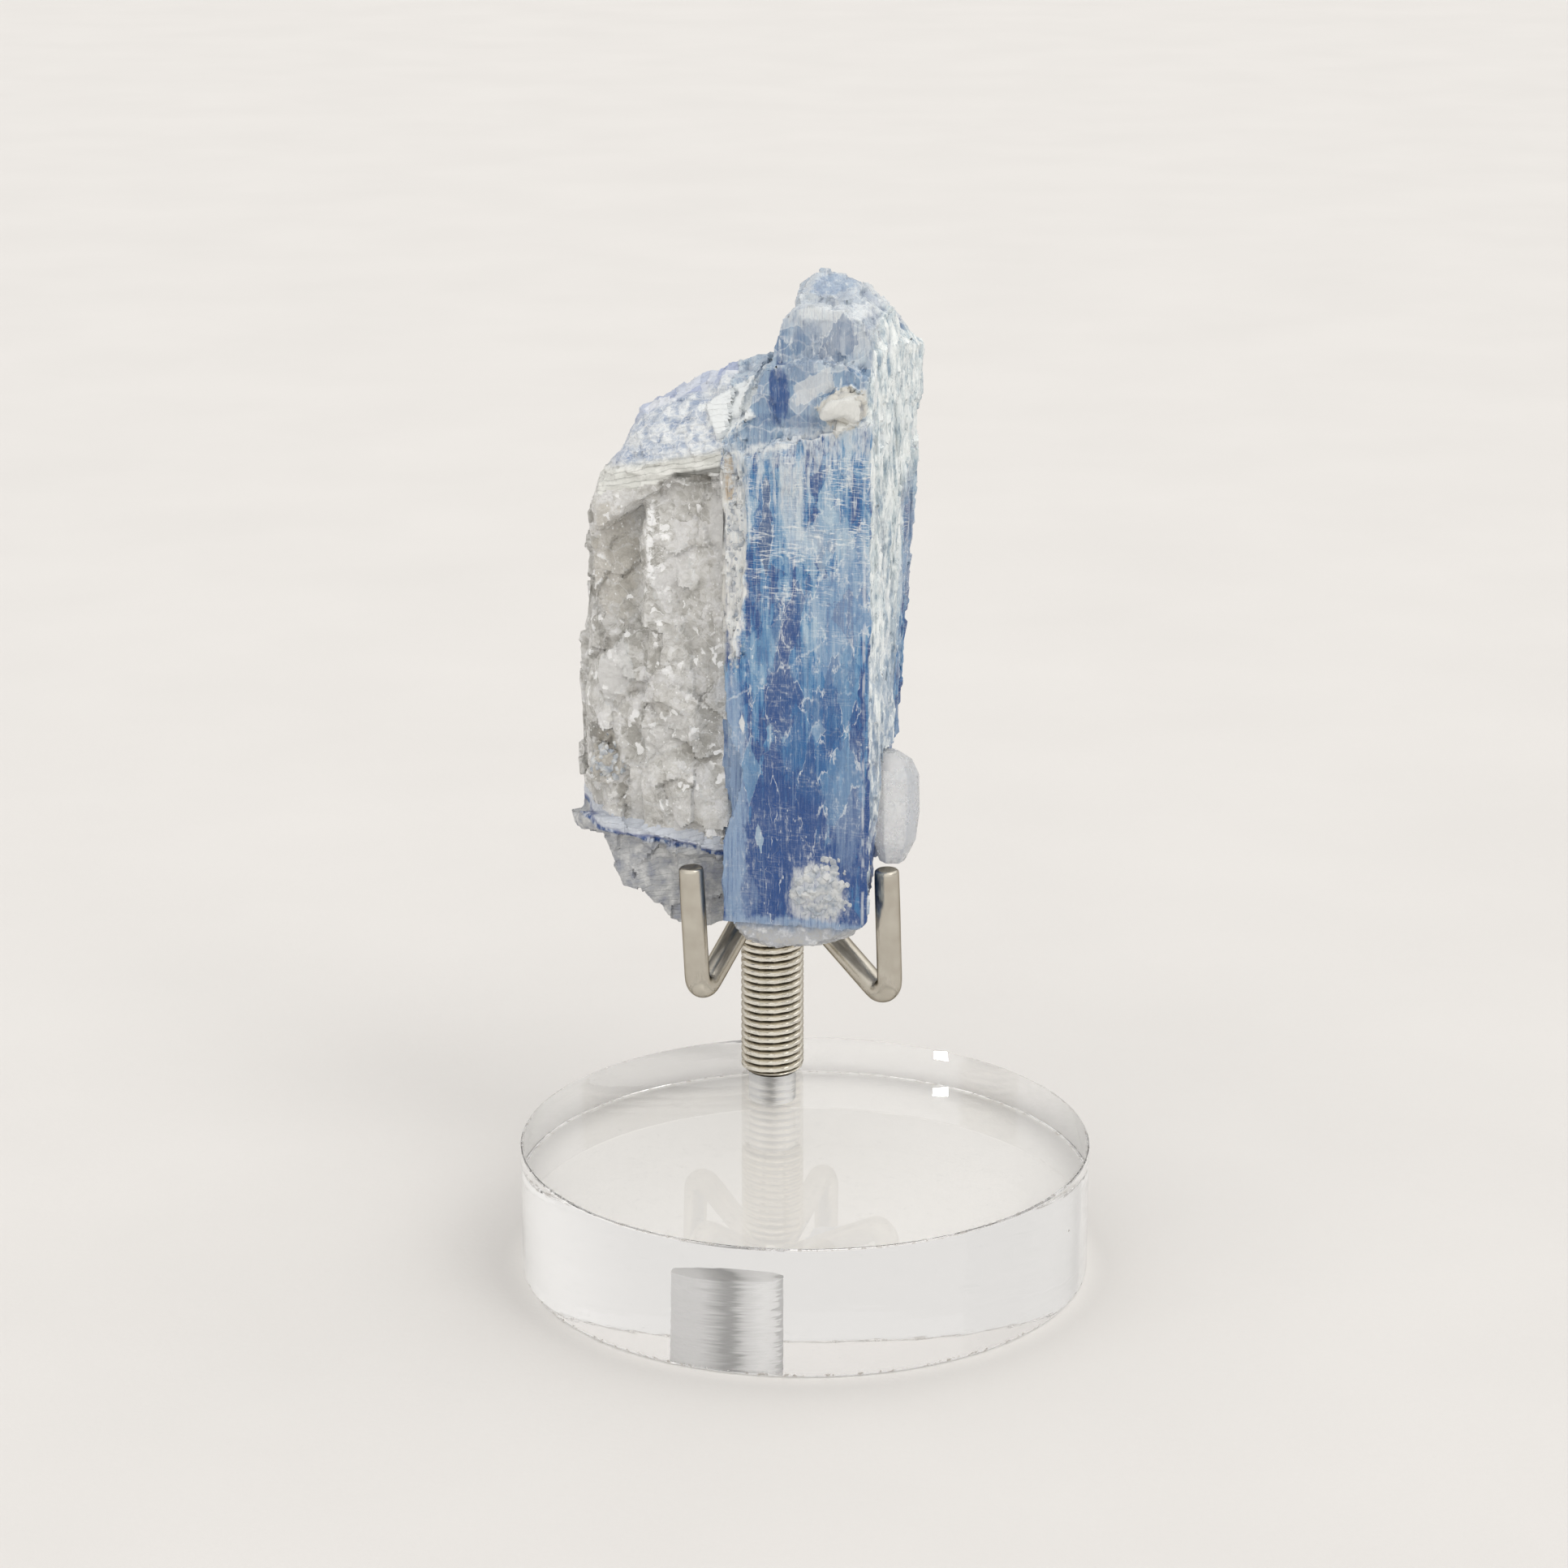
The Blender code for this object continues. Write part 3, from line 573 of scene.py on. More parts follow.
# %% Finish of the blades
def make_kyanite():
    finish = Finish("blue_kyanite", Roughness=0.35, IOR=1.6)
    place, (u, v, w) = stone_axes(finish)
    colour, height, plates = kyanite_blue(place, w)
    white, haze = blade_white(place, w, plates)
    wobble = place.scaled(0.9, 0.9, 0.4).sway(2.6, 5.0, 0.65)
    colour = crowned(colour, place, u, v, w)
    jagged = place.scaled(0.6, 0.6, 0.22).sway(2.4, 4.0, 0.6)
    broken = place.scaled(0.8, 0.8, 0.5).noise(1.0, 2.0).step(0.42, 0.60) * 0.6
    colour = patched(colour, u, w, wobble, BLADE_PATCHES)
    fibres = place.scaled(4.0, 3.2, 0.16).noise(1.0, 5.0, 0.65)
    low = w.step(74.0, 54.0)
    colour = (fibres.step(0.52, 0.68) * (0.36 - low * 0.16)).mixed(colour, PALE)
    colour = (fibres.step(0.50, 0.34) * (0.36 + low * 0.20)).mixed(colour, DEEP)
    colour = sharded(colour, u, w, jagged, broken, BLADE_SHARDS)
    seam = u.step(-17.9, -18.5) * w.step(72.0, 76.0) * w.step(99.0, 97.0)
    colour = (seam * 0.9).mixed(colour, tint(200, 198, 192))
    fracture = abs(w - u * 0.67 - 81.6 + jagged * 1.6 + wobble * 0.2).step(0.34, 0.04) * u.step(-5.0, -6.5)
    white = white + fracture * (broken * 0.5 + 0.12)
    colour = white.step(0.0, 1.10).mixed(colour, FROST)
    colour = sharded(colour, u, w, jagged * 0.5, broken, FLAKES)
    edge = abs(u + 0.75 + wobble * 0.12).step(0.26, 0.06) * v.step(1.6, 0.6) * w.step(100.0, 96.0)
    colour = (edge * broken * 0.8).mixed(colour, FROST)
    side = u.step(-1.2, -0.5) * v.step(0.2, 0.9)
    rim = v.step(15.0, 19.0) * w.step(98.0, 90.0)
    colour = (side * (1 - rim * 0.8) * 0.95).mixed(colour, mint_side(place, w))
    colour = grey_foot(colour, place, w)
    lift = finish.relief()
    # Whiter on the raised crests of the relief; painted shade darkens its hollows with a deep blue.
    colour = (lift.step(0.05, 0.30) * 0.4).mixed(colour, FROST)
    colour = (lift.step(-0.12, -0.50) * 0.3).mixed(colour, tint(84, 108, 146))
    finish.feed("Base Color", colour)
    finish.feed("Roughness", haze * 0.25 + 0.25)
    finish.bump(height + white * 0.3, 0.12)
    return finish.material


# %% [markdown]
# ## The quartz's finish
#
# The same steps for the quartz. Its sparkles are painted highlights for facets that would mirror the
# window:
# white in the colour and a little emission, as in a soft, even light they would otherwise vanish. Its deep
# hollows get painted shade.


# %% Finish of the quartz
def make_quartz():
    finish = Finish(
        "milky_quartz", Roughness=0.15, IOR=1.54, Transmission_Weight=0.12,
        Subsurface_Weight=0.1, Subsurface_Scale=0.001, Subsurface_Radius=(1.0, 1.0, 1.0),
        Emission_Strength=0.25,
    )
    place, (u, v, w) = stone_axes(finish)
    colour, height, clouds, painted_glints = quartz_colour(place, u, v, w)
    lift = finish.relief()
    # Painted shade: the deep hollows and pits of the relief are darkened with a warm grey.
    colour = (lift.step(-0.3, -1.2) * 0.35).mixed(colour, tint(168, 162, 150))
    finish.feed("Base Color", colour)
    # Painted light: the painted highlights also glow a little.
    finish.feed("Emission Color", painted_glints.mixed(tint(0, 0, 0), SPARK))
    finish.feed("Roughness", clouds.step(0.40, 0.62) * 0.30 + 0.06)
    finish.bump(height, 0.55)
    return finish.material


# %% [markdown]
# ## The broken cap
#
# Over the quartz sits a cap of broken kyanite: pale grains on top, thin grey layers along its lower edge
# and a lilac back. The same crust runs down behind the quartz and ends in a ledge with a dark blue line,
# under which the stone is smoky. One finish holds all of it, told apart by place.

# %% Finish of the cap
# Height of the quartz under its kyanite cap, in the middle, and how much it climbs to the right.
ROOF_FOOT = 101.75
ROOF_CLIMB = 0.22


def cap_roof(place, bent, u, v, above, spots):
    """Grains in front, lilac columns behind, and the layered band along the lower edge."""
    tones = ((0.34, tint(142, 158, 184)), (0.46, tint(182, 191, 204)), (0.60, tint(219, 223, 226)))
    grainy = spots.ramp(*tones)
    grainy = (bent.scaled(0.9, 0.9, 0.9).walls(0.07) * 0.45).mixed(grainy, MILK)
    grainy = (u.step(-30.0, -36.0) * 0.45).mixed(grainy, tint(148, 160, 196))
    columns = place.scaled(0.7, 0.5, 0.2).slabs() * 0.7 + spots * 0.4
    lilac = columns.ramp((0.2, tint(152, 164, 196)), (0.6, tint(188, 196, 212)), (0.9, tint(216, 220, 228)))
    wavy = above + place.scaled(0.3, 0.3, 0.3).noise(1.0, 3.0) * 1.6
    lines = (wavy * 1.5).maths("PINGPONG", wavy * 1.5, 0.5).step(0.16, 0.0)
    band = (lines * 0.55).mixed(tint(212, 213, 208), tint(158, 160, 156))
    band = (spots.step(0.42, 0.62) * 0.5).mixed(band, tint(238, 238, 234))
    return above.step(3.2, 2.0).mixed(v.step(8.4, 10.0).mixed(grainy, lilac), band), lines


def make_cap():
    """The broken kyanite over, behind and under the quartz."""
    finish = Finish("broken_kyanite", Roughness=0.4, IOR=1.6)
    place, (u, v, w) = stone_axes(finish)
    blue, streaks = kyanite_blue(place, w)[:2]
    above = w - u * ROOF_CLIMB - ROOF_FOOT
    bent = place.warped(0.7, 1.6)
    spots = bent.scaled(0.7, 0.7, 0.7).noise(1.0, 6.0, 0.62)
    colour, lines = cap_roof(place, bent, u, v, above, spots)
    # Painted shade: a dark gap along the foot of the cap, over the quartz.
    shaded_slit = above.step(0.9, 0.5) * u.step(-26.0, -24.6) * u.step(-18.6, -19.4) * v.step(9.0, 7.0)
    colour = (shaded_slit * 0.85).mixed(colour, tint(112, 112, 108))
    jagged = place.scaled(0.6, 0.6, 0.22).sway(2.4, 4.0, 0.6)
    colour = sharded(colour, u, w, jagged * 0.5, v.step(12.0, 8.0) * 0.3, FLAKES)
    low = w.step(90.0, 86.0)
    fibres = place.scaled(1.1, 1.1, 0.2).noise(1.0, 5.0, 0.65)
    side = (fibres.step(0.44, 0.62) * 0.8).mixed(blue, tint(206, 212, 220))
    colour = low.mixed(colour, side)
    across = w + u * 0.13 + place.scaled(0.22, 0.22, 0.5).sway(1.6)
    colour = (across.step(46.9, 47.3) * across.step(51.0, 48.6) * 0.9).mixed(colour, tint(206, 211, 219))
    broken = place.scaled(0.4, 0.4, 0.4).noise(1.0, 3.0).step(0.36, 0.52)
    line = abs(across - 47.1).step(0.42, 0.05) * low * broken
    colour = (line * 0.65).mixed(colour, tint(84, 96, 144))
    under = across.step(46.6, 46.2) * low
    smoky = bent.scaled(0.6, 0.6, 0.6).noise(1.0, 6.0, 0.62)
    smoky = smoky.ramp((0.36, tint(142, 146, 158)), (0.5, tint(170, 172, 175)), (0.66, tint(206, 207, 207)))
    colour = (under * v.step(16.0, 14.0)).mixed(colour, smoky)
    finish.feed("Base Color", colour)
    finish.feed("Roughness", spots * 0.3 + 0.2)
    finish.bump(streaks * 0.3 + spots * 0.8 + place.facets(1.2) * 0.6 - lines * 0.2, 0.22)
    return finish.material


kyanite = make_kyanite()
quartz = make_quartz()
cap = make_cap()
print("stone finishes:", kyanite.name, quartz.name, cap.name)

# %% [markdown]
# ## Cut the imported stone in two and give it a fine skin
#
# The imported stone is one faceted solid. For its looks we cut a copy in two where kyanite meets quartz, so
# that each mineral gets its own skin and finish. A voxel remesh turns each half into even small faces, and
# a shrinkwrap then pulls them back on to the flat crystal faces, which brings the crisp edges back.


# %% Helpers for new meshes
def add_thing(name, mesh, *materials):
    thing = bpy.data.objects.new(name, mesh)
    bpy.context.scene.collection.objects.link(thing)
    for material in materials:
        mesh.materials.append(material)
    return thing


def settled(thing, name):
    """Replaces a thing by a plain mesh of what its modifiers make."""
    graph = bpy.context.evaluated_depsgraph_get()
    mesh = bpy.data.meshes.new_from_object(thing.evaluated_get(graph))
    mesh.name = name
    bpy.data.objects.remove(thing)
    return mesh


def poured(bm, name):
    """Turns a bmesh into a mesh and frees it."""
    mesh = bpy.data.meshes.new(name)
    bm.to_mesh(mesh)
    bm.free()
    return mesh


def lofted(rings):
    """A closed skin over rings of points, from the lowest ring to the highest, with flat ends."""
    bm = bmesh.new()
    made = [[bm.verts.new(spot) for spot in ring] for ring in rings]
    for below, above in zip(made, made[1:]):
        for i in range(len(below)):
            j = (i + 1) % len(below)
            bm.faces.new((below[i], below[j], above[j], above[i]))
    bm.faces.new(list(reversed(made[0])))
    bm.faces.new(made[-1])
    return bm


def welded_copy(name, node):
    bm = bmesh.new()
    bm.from_mesh(nodes[node].data)
    bmesh.ops.remove_doubles(bm, verts=bm.verts, dist=1e-6)
    return poured(bm, name)


def stone_block(low, high):
    """A block along the stone's axes, to cut with."""
    bm = bmesh.new()
    bmesh.ops.create_cube(bm, size=1.0)
    for vert in bm.verts:
        vert.co = from_stone(*(a + (b - a) * (c + 0.5) for a, b, c in zip(low, high, vert.co)))
    return add_thing("block", poured(bm, "block"))


def boolean(thing, operation, cutter):
    cut = thing.modifiers.new(operation, "BOOLEAN")
    cut.operation = operation
    cut.solver = "EXACT"
    cut.object = cutter


# %% [markdown]
# The cut runs along u = -18.8, where kyanite and quartz meet, and the halves overlap by a little so that
# no crack of light shows between them. A seat is cut for the small clear crystal.

# %% Cut and skin
SEAM = -18.8
OVERLAP = 0.3
FAR = 200.0
CRYSTAL_SEAT = ((-1.5, 8.15, 47.55), (8.0, 14.25, 61.85))


def skinned_half(name, low, high, grain, seats=()):
    """One half of the stone with an even skin of faces about grain millimetres across."""
    thing = add_thing(name, welded_copy(name, "kyanite_specimen"))
    blocks = [stone_block(low, high)]
    boolean(thing, "INTERSECT", blocks[0])
    for seat in seats:
        blocks.append(stone_block(*seat))
        boolean(thing, "DIFFERENCE", blocks[-1])
    form = settled(thing, name + "_form")
    for block in blocks:
        bpy.data.objects.remove(block)
    guide = add_thing(name + "_form", form)
    thing = add_thing(name, form.copy())
    remesh = thing.modifiers.new("skin", "REMESH")
    remesh.mode = "VOXEL"
    remesh.voxel_size = grain * MM
    wrap = thing.modifiers.new("crisp", "SHRINKWRAP")
    wrap.target = guide
    mesh = settled(thing, name)
    bpy.data.objects.remove(guide)
    return mesh


SKIN_GRAIN = 0.32
blade_mesh = skinned_half(
    "kyanite_half", (SEAM - OVERLAP, -FAR, 0.0), (FAR, FAR, FAR), SKIN_GRAIN, [CRYSTAL_SEAT]
)
quartz_mesh = skinned_half("quartz_half", (-FAR, -FAR, 0.0), (SEAM + OVERLAP, FAR, FAR), SKIN_GRAIN)
print("skins:", len(blade_mesh.vertices), len(quartz_mesh.vertices), "points")

# %% [markdown]
# ## Relief
#
# Now the skins get their broken look. Kyanite cleaves into long flat steps and splinters, so its noises are
# stretched along w, and rounding one of them makes terraces. Quartz breaks into curved facets: every cell
# of a Voronoi pattern is given a slope of its own. The height is also stored on the points, so that the
# finishes can whiten the crests and paint shade into the hollows.


# %% Noises over many points
def noise_over(spots, size, seed=0):
    """Smooth noise from -1 to 1 at each spot; size gives its grain along u, v and w in millimetres."""
    moved = spots / np.array(size) + seed * 13.7
    return np.array([noise.noise(p) for p in moved.tolist()])


def blocks_over(spots, size, seed=0):
    """One random value from -1 to 1 for each little brick of space."""
    moved = spots / np.array(size) + seed * 7.3
    return np.array([noise.cell(p) for p in moved.tolist()]) * 2 - 1


def facets_over(spots, size, seed=0):
    """Tilted facets: each Voronoi cell slopes its own way."""
    moved = spots / np.array(size) + seed * 5.1
    heights = []
    for p in moved.tolist():
        middle = noise.voronoi(p)[1][0]
        slope = noise.cell_vector(middle * 9.0)
        heights.append((Vector(p) - middle).dot(slope * 2 - Vector((1, 1, 1))))
    return np.array(heights)


def ease(values, low, high):
    """0 at low, 1 at high, smooth between."""
    part = np.clip((values - low) / (high - low), 0.0, 1.0)
    return part * part * (3 - 2 * part)


def read_points(mesh):
    spots = np.zeros(len(mesh.vertices) * 3)
    mesh.vertices.foreach_get("co", spots)
    normals = np.zeros(len(mesh.vertices) * 3)
    mesh.vertex_normals.foreach_get("vector", normals)
    return spots.reshape(-1, 3), normals.reshape(-1, 3)


def raise_points(mesh, heights):
    """Moves every point along its normal by a height in millimetres, inside the stone's own box."""
    spots, normals = read_points(mesh)
    moved = spots + normals * heights[:, None] * MM
    moved = np.clip(moved, np.array(low), np.array(high))
    mesh.vertices.foreach_set("co", moved.ravel())
    relief = mesh.attributes.new("relief", "FLOAT", "POINT")
    relief.data.foreach_set("value", heights)
    mesh.update()


# %% [markdown]
# The blades first. Their front face stays almost flat, the side is lumpy, the broken top is faceted, and
# each pale flake is pressed flat and lifted, so that it reads as a plate.


# %% Relief of the kyanite
def laid_flakes(place, heights, front):
    """Makes each pale flake a flat plate that stands proud of the broken surface."""
    for (centre_u, centre_w), (half_u, half_w), lean, _, _ in FLAKES:
        along = (place[:, 2] - centre_w) / half_w
        across = (place[:, 0] - centre_u) / half_u - along * lean
        plate = front * ease(np.abs(across) + np.abs(along), 1.0, 0.85)
        heights = heights * (1 - plate * 0.75) + plate * 0.7
    return heights


def carve_kyanite(mesh):
    spots, normals = read_points(mesh)
    place = to_stone(spots)
    lean = to_stone(normals * MM + np.array(STONE_CORNER) * MM)
    front = ease(-lean[:, 1], 0.75, 0.95)
    broken = ease(np.abs(lean[:, 2]), 0.25, 0.6)
    streaks = noise_over(place, (0.5, 0.6, 12.0)) + 0.6 * noise_over(place, (0.22, 0.3, 7.0), 1)
    terraces = np.round(noise_over(place, (2.2, 2.6, 14.0), 2) * 3.5) / 3.5
    facets = facets_over(place, (1.8, 2.0, 3.4), 3)
    crumbs = noise_over(place, (0.7, 0.7, 0.9), 4)
    fibres = blocks_over(place, (0.55, 0.8, 9.0), 5)
    scars = ease(noise_over(place, (3.0, 3.0, 5.0), 6), 0.15, 0.5)
    wall = (1 - front) * (1 - broken)
    heights = front * (0.04 * streaks + 0.13 * terraces)
    lumps = facets_over(place, (0.9, 1.0, 2.2), 7)
    heights += wall * (0.06 * streaks + 0.12 * terraces + 0.08 * fibres + 0.32 * lumps - 0.2 * scars)
    heights += broken * (0.36 * facets + 0.10 * crumbs - 0.1)
    heights += ease(place[:, 2], 92.0, 103.0) * (0.25 * facets + 0.05 * crumbs)
    strip = ease(place[:, 0] + 0.8 * crumbs, -15.2, -16.2) * ease(place[:, 2], 73.0, 76.0)
    heights += front * strip * (0.7 * lumps + 0.15 * crumbs)
    heights = laid_flakes(place, heights, front)
    raise_points(mesh, heights - 0.05)


# %% [markdown]
# The quartz is rougher: big curved facets, a layered edge under the cap, and a few pits where a piece
# has broken out.

# %% Relief of the quartz
# Centre along u and w, half sizes, how steep the rim is, and the depth in millimetres.
QUARTZ_PITS = (
    ((-34.8, 60.4), (2.6, 3.2), 2.0, 0.9),
    ((-22.2, 96.6), (3.0, 0.5), 2.0, 0.9),
    ((-27.0, 66.5), (3.2, 1.6), 1.6, 0.7),
)


def is_cap(place):
    """Where the quartz half is kyanite: its roof, its back, the ledge and what is under it."""
    u, v, w = place.T
    wander = noise_over(place, (1.3, 1.3, 1.3), 9)
    roof = w - ROOF_CLIMB * u > ROOF_FOOT + 0.5 * wander
    ledge = w + 0.13 * u < 48.6 + 0.5 * wander
    behind = v > 16.8 + wander
    return roof | ledge | behind


def carve_quartz(mesh):
    spots, normals = read_points(mesh)
    place = to_stone(spots)
    lean = to_stone(normals * MM + np.array(STONE_CORNER) * MM)
    front = ease(-lean[:, 1], 0.1, 0.5)
    big = facets_over(place, (4.4, 4.4, 5.4))
    small = facets_over(place, (1.7, 1.7, 2.1), 1)
    fine = noise_over(place, (0.6, 0.6, 0.7), 2)
    layers = noise_over(place, (6.0, 5.0, 0.5), 4)
    edge = noise_over(place, (1.6, 1.6, 1.6), 5)
    above = place[:, 2] - ROOF_CLIMB * place[:, 0] - ROOF_FOOT
    roof = ease(above, -0.3, 0.6)
    cubes = blocks_over(place, (1.5, 1.5, 1.3), 6)
    heights = (1 - roof) * (0.95 * big + 0.10 * small + 0.03 * fine)
    heights += roof * (0.30 * small + 0.10 * fine + 0.2 * big + 0.05 * cubes)
    heights += roof * ease(above, 3.0, 2.0) * 0.3 * layers
    for (centre_u, centre_w), (half_u, half_w), steep, depth in QUARTZ_PITS:
        across = np.abs((place[:, 0] - centre_u) / half_u) ** steep
        along = np.abs((place[:, 2] - centre_w) / half_w) ** steep
        heights -= front * depth * ease(across + along + 0.25 * edge, 1.15, 0.75)
    raise_points(mesh, laid_flakes(place, heights, front) - 0.15)


carve_kyanite(blade_mesh)
carve_quartz(quartz_mesh)

# %% [markdown]
# Both halves stand for the one packed stone. The quartz mesh gets the cap's finish on the faces that
# belong to it.

# %% Show the two halves
CREASE = math.radians(38)


def show_piece(name, mesh, material, node):
    """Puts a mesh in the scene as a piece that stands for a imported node."""
    mesh.shade_smooth()
    mesh.set_sharp_from_angle(angle=CREASE)
    mesh.materials.clear()
    piece = add_thing(name, mesh, material)
    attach(piece, "root")
    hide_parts(node)
    print(name, len(mesh.polygons), "faces")


show_piece("kyanite_blades", blade_mesh, kyanite, "kyanite_specimen")
show_piece("milky_quartz", quartz_mesh, quartz, "kyanite_specimen")
quartz_mesh.materials.append(cap)
centres = np.zeros(len(quartz_mesh.polygons) * 3)
quartz_mesh.polygons.foreach_get("center", centres)
capped = is_cap(to_stone(centres.reshape(-1, 3)))
quartz_mesh.polygons.foreach_set("material_index", capped.astype(np.int32))

# %% [markdown]
# ## The small clear crystal
#
# A six-sided quartz crystal sticks out low on the right. It is clear, so it gets plain transmission and
# the refraction of quartz. It is lofted from the same six-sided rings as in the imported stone.

# %% Clear quartz
CRYSTAL_RINGS = (
    (47.7, (0.5, 10.7), 1.6),
    (50.4, (0.7, 11.0), 2.7),
    (54.0, (0.8, 11.2), 3.0),
    (58.8, (0.7, 11.2), 3.0),
    (60.7, (0.4, 11.2), 2.4),
    (61.7, (-0.2, 11.2), 1.4),
)


def make_clear_quartz():
    finish = Finish("clear_quartz", IOR=1.54, Transmission_Weight=0.6, Roughness=0.12)
    clouds = finish.spot.noise(0.5, 5.0, 0.6)
    finish.feed("Base Color", clouds.ramp((0.35, tint(250, 252, 253)), (0.65, tint(255, 255, 255))))
    finish.feed("Roughness", clouds.step(0.4, 0.62) * 0.35 + 0.08)
    finish.bump(finish.spot.noise(1.2, 4.0), 0.25)
    return finish.material


def clear_crystal():
    rings = []
    for w, (centre_u, centre_v), radius in CRYSTAL_RINGS:
        ring = []
        for i in range(6):
            angle = math.tau * (i + 0.25) / 6
            u = centre_u + radius * math.cos(angle)
            v = centre_v + radius * math.sin(angle)
            ring.append(from_stone(u, v, w))
        rings.append(ring)
    bm = lofted(rings)
    bmesh.ops.recalc_face_normals(bm, faces=bm.faces)
    edges = list(bm.edges)
    bmesh.ops.bevel(bm, geom=edges, offset=0.18 * MM, segments=2, profile=0.6, affect="EDGES")
    return poured(bm, "clear_crystal")


show_piece(
    "clear_crystal", clear_crystal(), make_clear_quartz(), "kyanite_specimen"
)

# %% [markdown]
# ## Grains and splinters
#
# Close up, the stone is peppered with broken quartz grains, and its right side is a brush of thin kyanite
# splinters. Each is a small closed solid with flat faces. A ray finds the surface, and the solid is sunk
# a little into it, so nothing floats. All grains of a kind are joined in one mesh.


# %% Scatter small solids
surface = BVHTree.FromPolygons(
    [tuple(v.co) for mesh in (blade_mesh, quartz_mesh) for v in mesh.vertices],
    [tuple(p.vertices) for p in blade_mesh.polygons]
    + [tuple(i + len(blade_mesh.vertices) for i in p.vertices) for p in quartz_mesh.polygons],
)
U_WAY = (from_stone(1, 0, 0) - from_stone(0, 0, 0)).normalized()
V_WAY = (from_stone(0, 1, 0) - from_stone(0, 0, 0)).normalized()
W_WAY = Vector((0, 0, 1))


def hit_front(u, w):
    """Where a line along v meets the front of the stone."""
    return surface.ray_cast(from_stone(u, -30, w), V_WAY)[0]


def hit_right(v, w):
    """Where a line along u meets the right side of the stone."""
    return surface.ray_cast(from_stone(30, v, w), -U_WAY)[0]


def add_grain(bm, spot, sizes, dice, turn=True):
    """A broken grain: a ball of twenty flat faces, stretched and with its corners moved."""
    made = bmesh.ops.create_icosphere(bm, subdivisions=1, radius=1.0)["verts"]
    tilt = Matrix.Identity(3)
    if turn:
        tilt = Matrix.Rotation(dice.uniform(0, math.tau), 3, Vector([dice.gauss(0, 1) for _ in range(3)]))
    for vert in made:
        corner = tilt @ (vert.co * (1 + dice.uniform(-0.25, 0.25)))
        stretched = U_WAY * corner.x * sizes[0] + V_WAY * corner.y * sizes[1] + W_WAY * corner.z * sizes[2]
        vert.co = spot + stretched * MM


# Centre along u and w, half sizes, how many grains, and their smallest and largest radius.
GRAIN_PATCHES = (
    ((-6.0, 46.4), (4.0, 3.6), 80, (0.50, 1.25)),
    ((-4.8, 49.4), (2.0, 1.8), 20, (0.40, 0.90)),
    ((-17.0, 90.0), (1.0, 8.6), 70, (0.28, 0.70)),
    ((-16.8, 78.0), (0.9, 5.0), 26, (0.22, 0.50)),
    ((-34.4, 59.6), (2.6, 3.4), 40, (0.30, 0.80)),
)


def scatter_grains(name):
    dice = random.Random(11)
    bm = bmesh.new()
    for (centre_u, centre_w), (half_u, half_w), count, (smallest, largest) in GRAIN_PATCHES:
        for _ in range(count):
            away = math.sqrt(dice.random())
            angle = dice.uniform(0, math.tau)
            across = half_u * away * math.cos(angle)
            along = half_w * away * math.sin(angle)
            spot = hit_front(centre_u + across, centre_w + along)
            size = dice.uniform(smallest, largest) * (1.2 - 0.75 * away)
            if spot:
                add_grain(bm, spot + V_WAY * size * 0.35 * MM, (size, size * 0.7, size), dice)
    return poured(bm, name)


def scatter_splinters(name):
    dice = random.Random(5)
    bm = bmesh.new()
    for _ in range(170):
        w = dice.uniform(56.0, 108.0)
        reach = 12.0 + 13.0 * (w - 56.0) / 52.0
        spot = hit_right(dice.uniform(0.8, reach), w)
        length = dice.uniform(1.0, 5.5)
        if spot:
            sizes = (dice.uniform(0.25, 0.5), dice.uniform(0.18, 0.5), length)
            add_grain(bm, spot - U_WAY * 0.2 * MM, sizes, dice, False)
    return poured(bm, name)


def make_grain_finish():
    finish = Finish("broken_grains", Roughness=0.2, IOR=1.54, Transmission_Weight=0.3)
    clouds = finish.spot.noise(0.9, 4.0, 0.6)
    finish.feed("Base Color", clouds.ramp((0.36, tint(172, 183, 197)), (0.6, tint(236, 238, 238))))
    finish.bump(finish.spot.noise(3.0, 3.0), 0.08)
    return finish.material


show_piece(
    "broken_grains", scatter_grains("broken_grains"), make_grain_finish(),
    "kyanite_specimen",
)
show_piece(
    "side_splinters", scatter_splinters("side_splinters"), kyanite, "kyanite_specimen"
)

# %% [markdown]
# ## Nickel-plated steel
#
# The wires and the rod are bright warm steel with a drawn grain: fine scratches along the wire. A metal's
# colour is its reflection, so on the wires the base colour stays even and the roughness does the talking;
# the rod's thread gets painted light and shade.


# %% Steel finish
def make_steel(name, across, along):
    finish = Finish(name, Metallic=1.0, Roughness=0.25, Specular_Tint=tint(176, 170, 160))
    drawn = finish.spot.scaled(across, across, along).noise(1.0, 4.0, 0.6)
    patches = finish.spot.noise(0.35, 3.0)
    finish.feed("Base Color", patches.ramp((0.3, tint(186, 180, 168)), (0.7, tint(206, 201, 190))))
    finish.feed("Roughness", drawn * 0.14 + patches * 0.10 + 0.08)
    finish.bump(drawn, 0.012)
    return finish.material


steel = make_steel("drawn_steel", 9.0, 0.6)

# %% [markdown]
# The imported wires already have the right shape, but a wire needs smooth shading. A copy with its points
# welded takes one round of subdivision, which rounds it, and a narrow bevel keeps the cut end flat.

# %% Round the wires
for node in ("front_left_prong", "front_right_prong", "rear_left_prong", "rear_right_prong"):
    wire = add_thing(node, welded_copy(node + "_wire", node))
    keep = wire.modifiers.new("edges", "BEVEL")
    keep.width = 0.06 * MM
    keep.limit_method = "ANGLE"
    keep.angle_limit = math.radians(40)
    smooth = wire.modifiers.new("round", "SUBSURF")
    smooth.levels = 1
    smooth.render_levels = 1
    mesh = settled(wire, node + "_wire")
    show_piece(node + "_wire", mesh, steel, node)

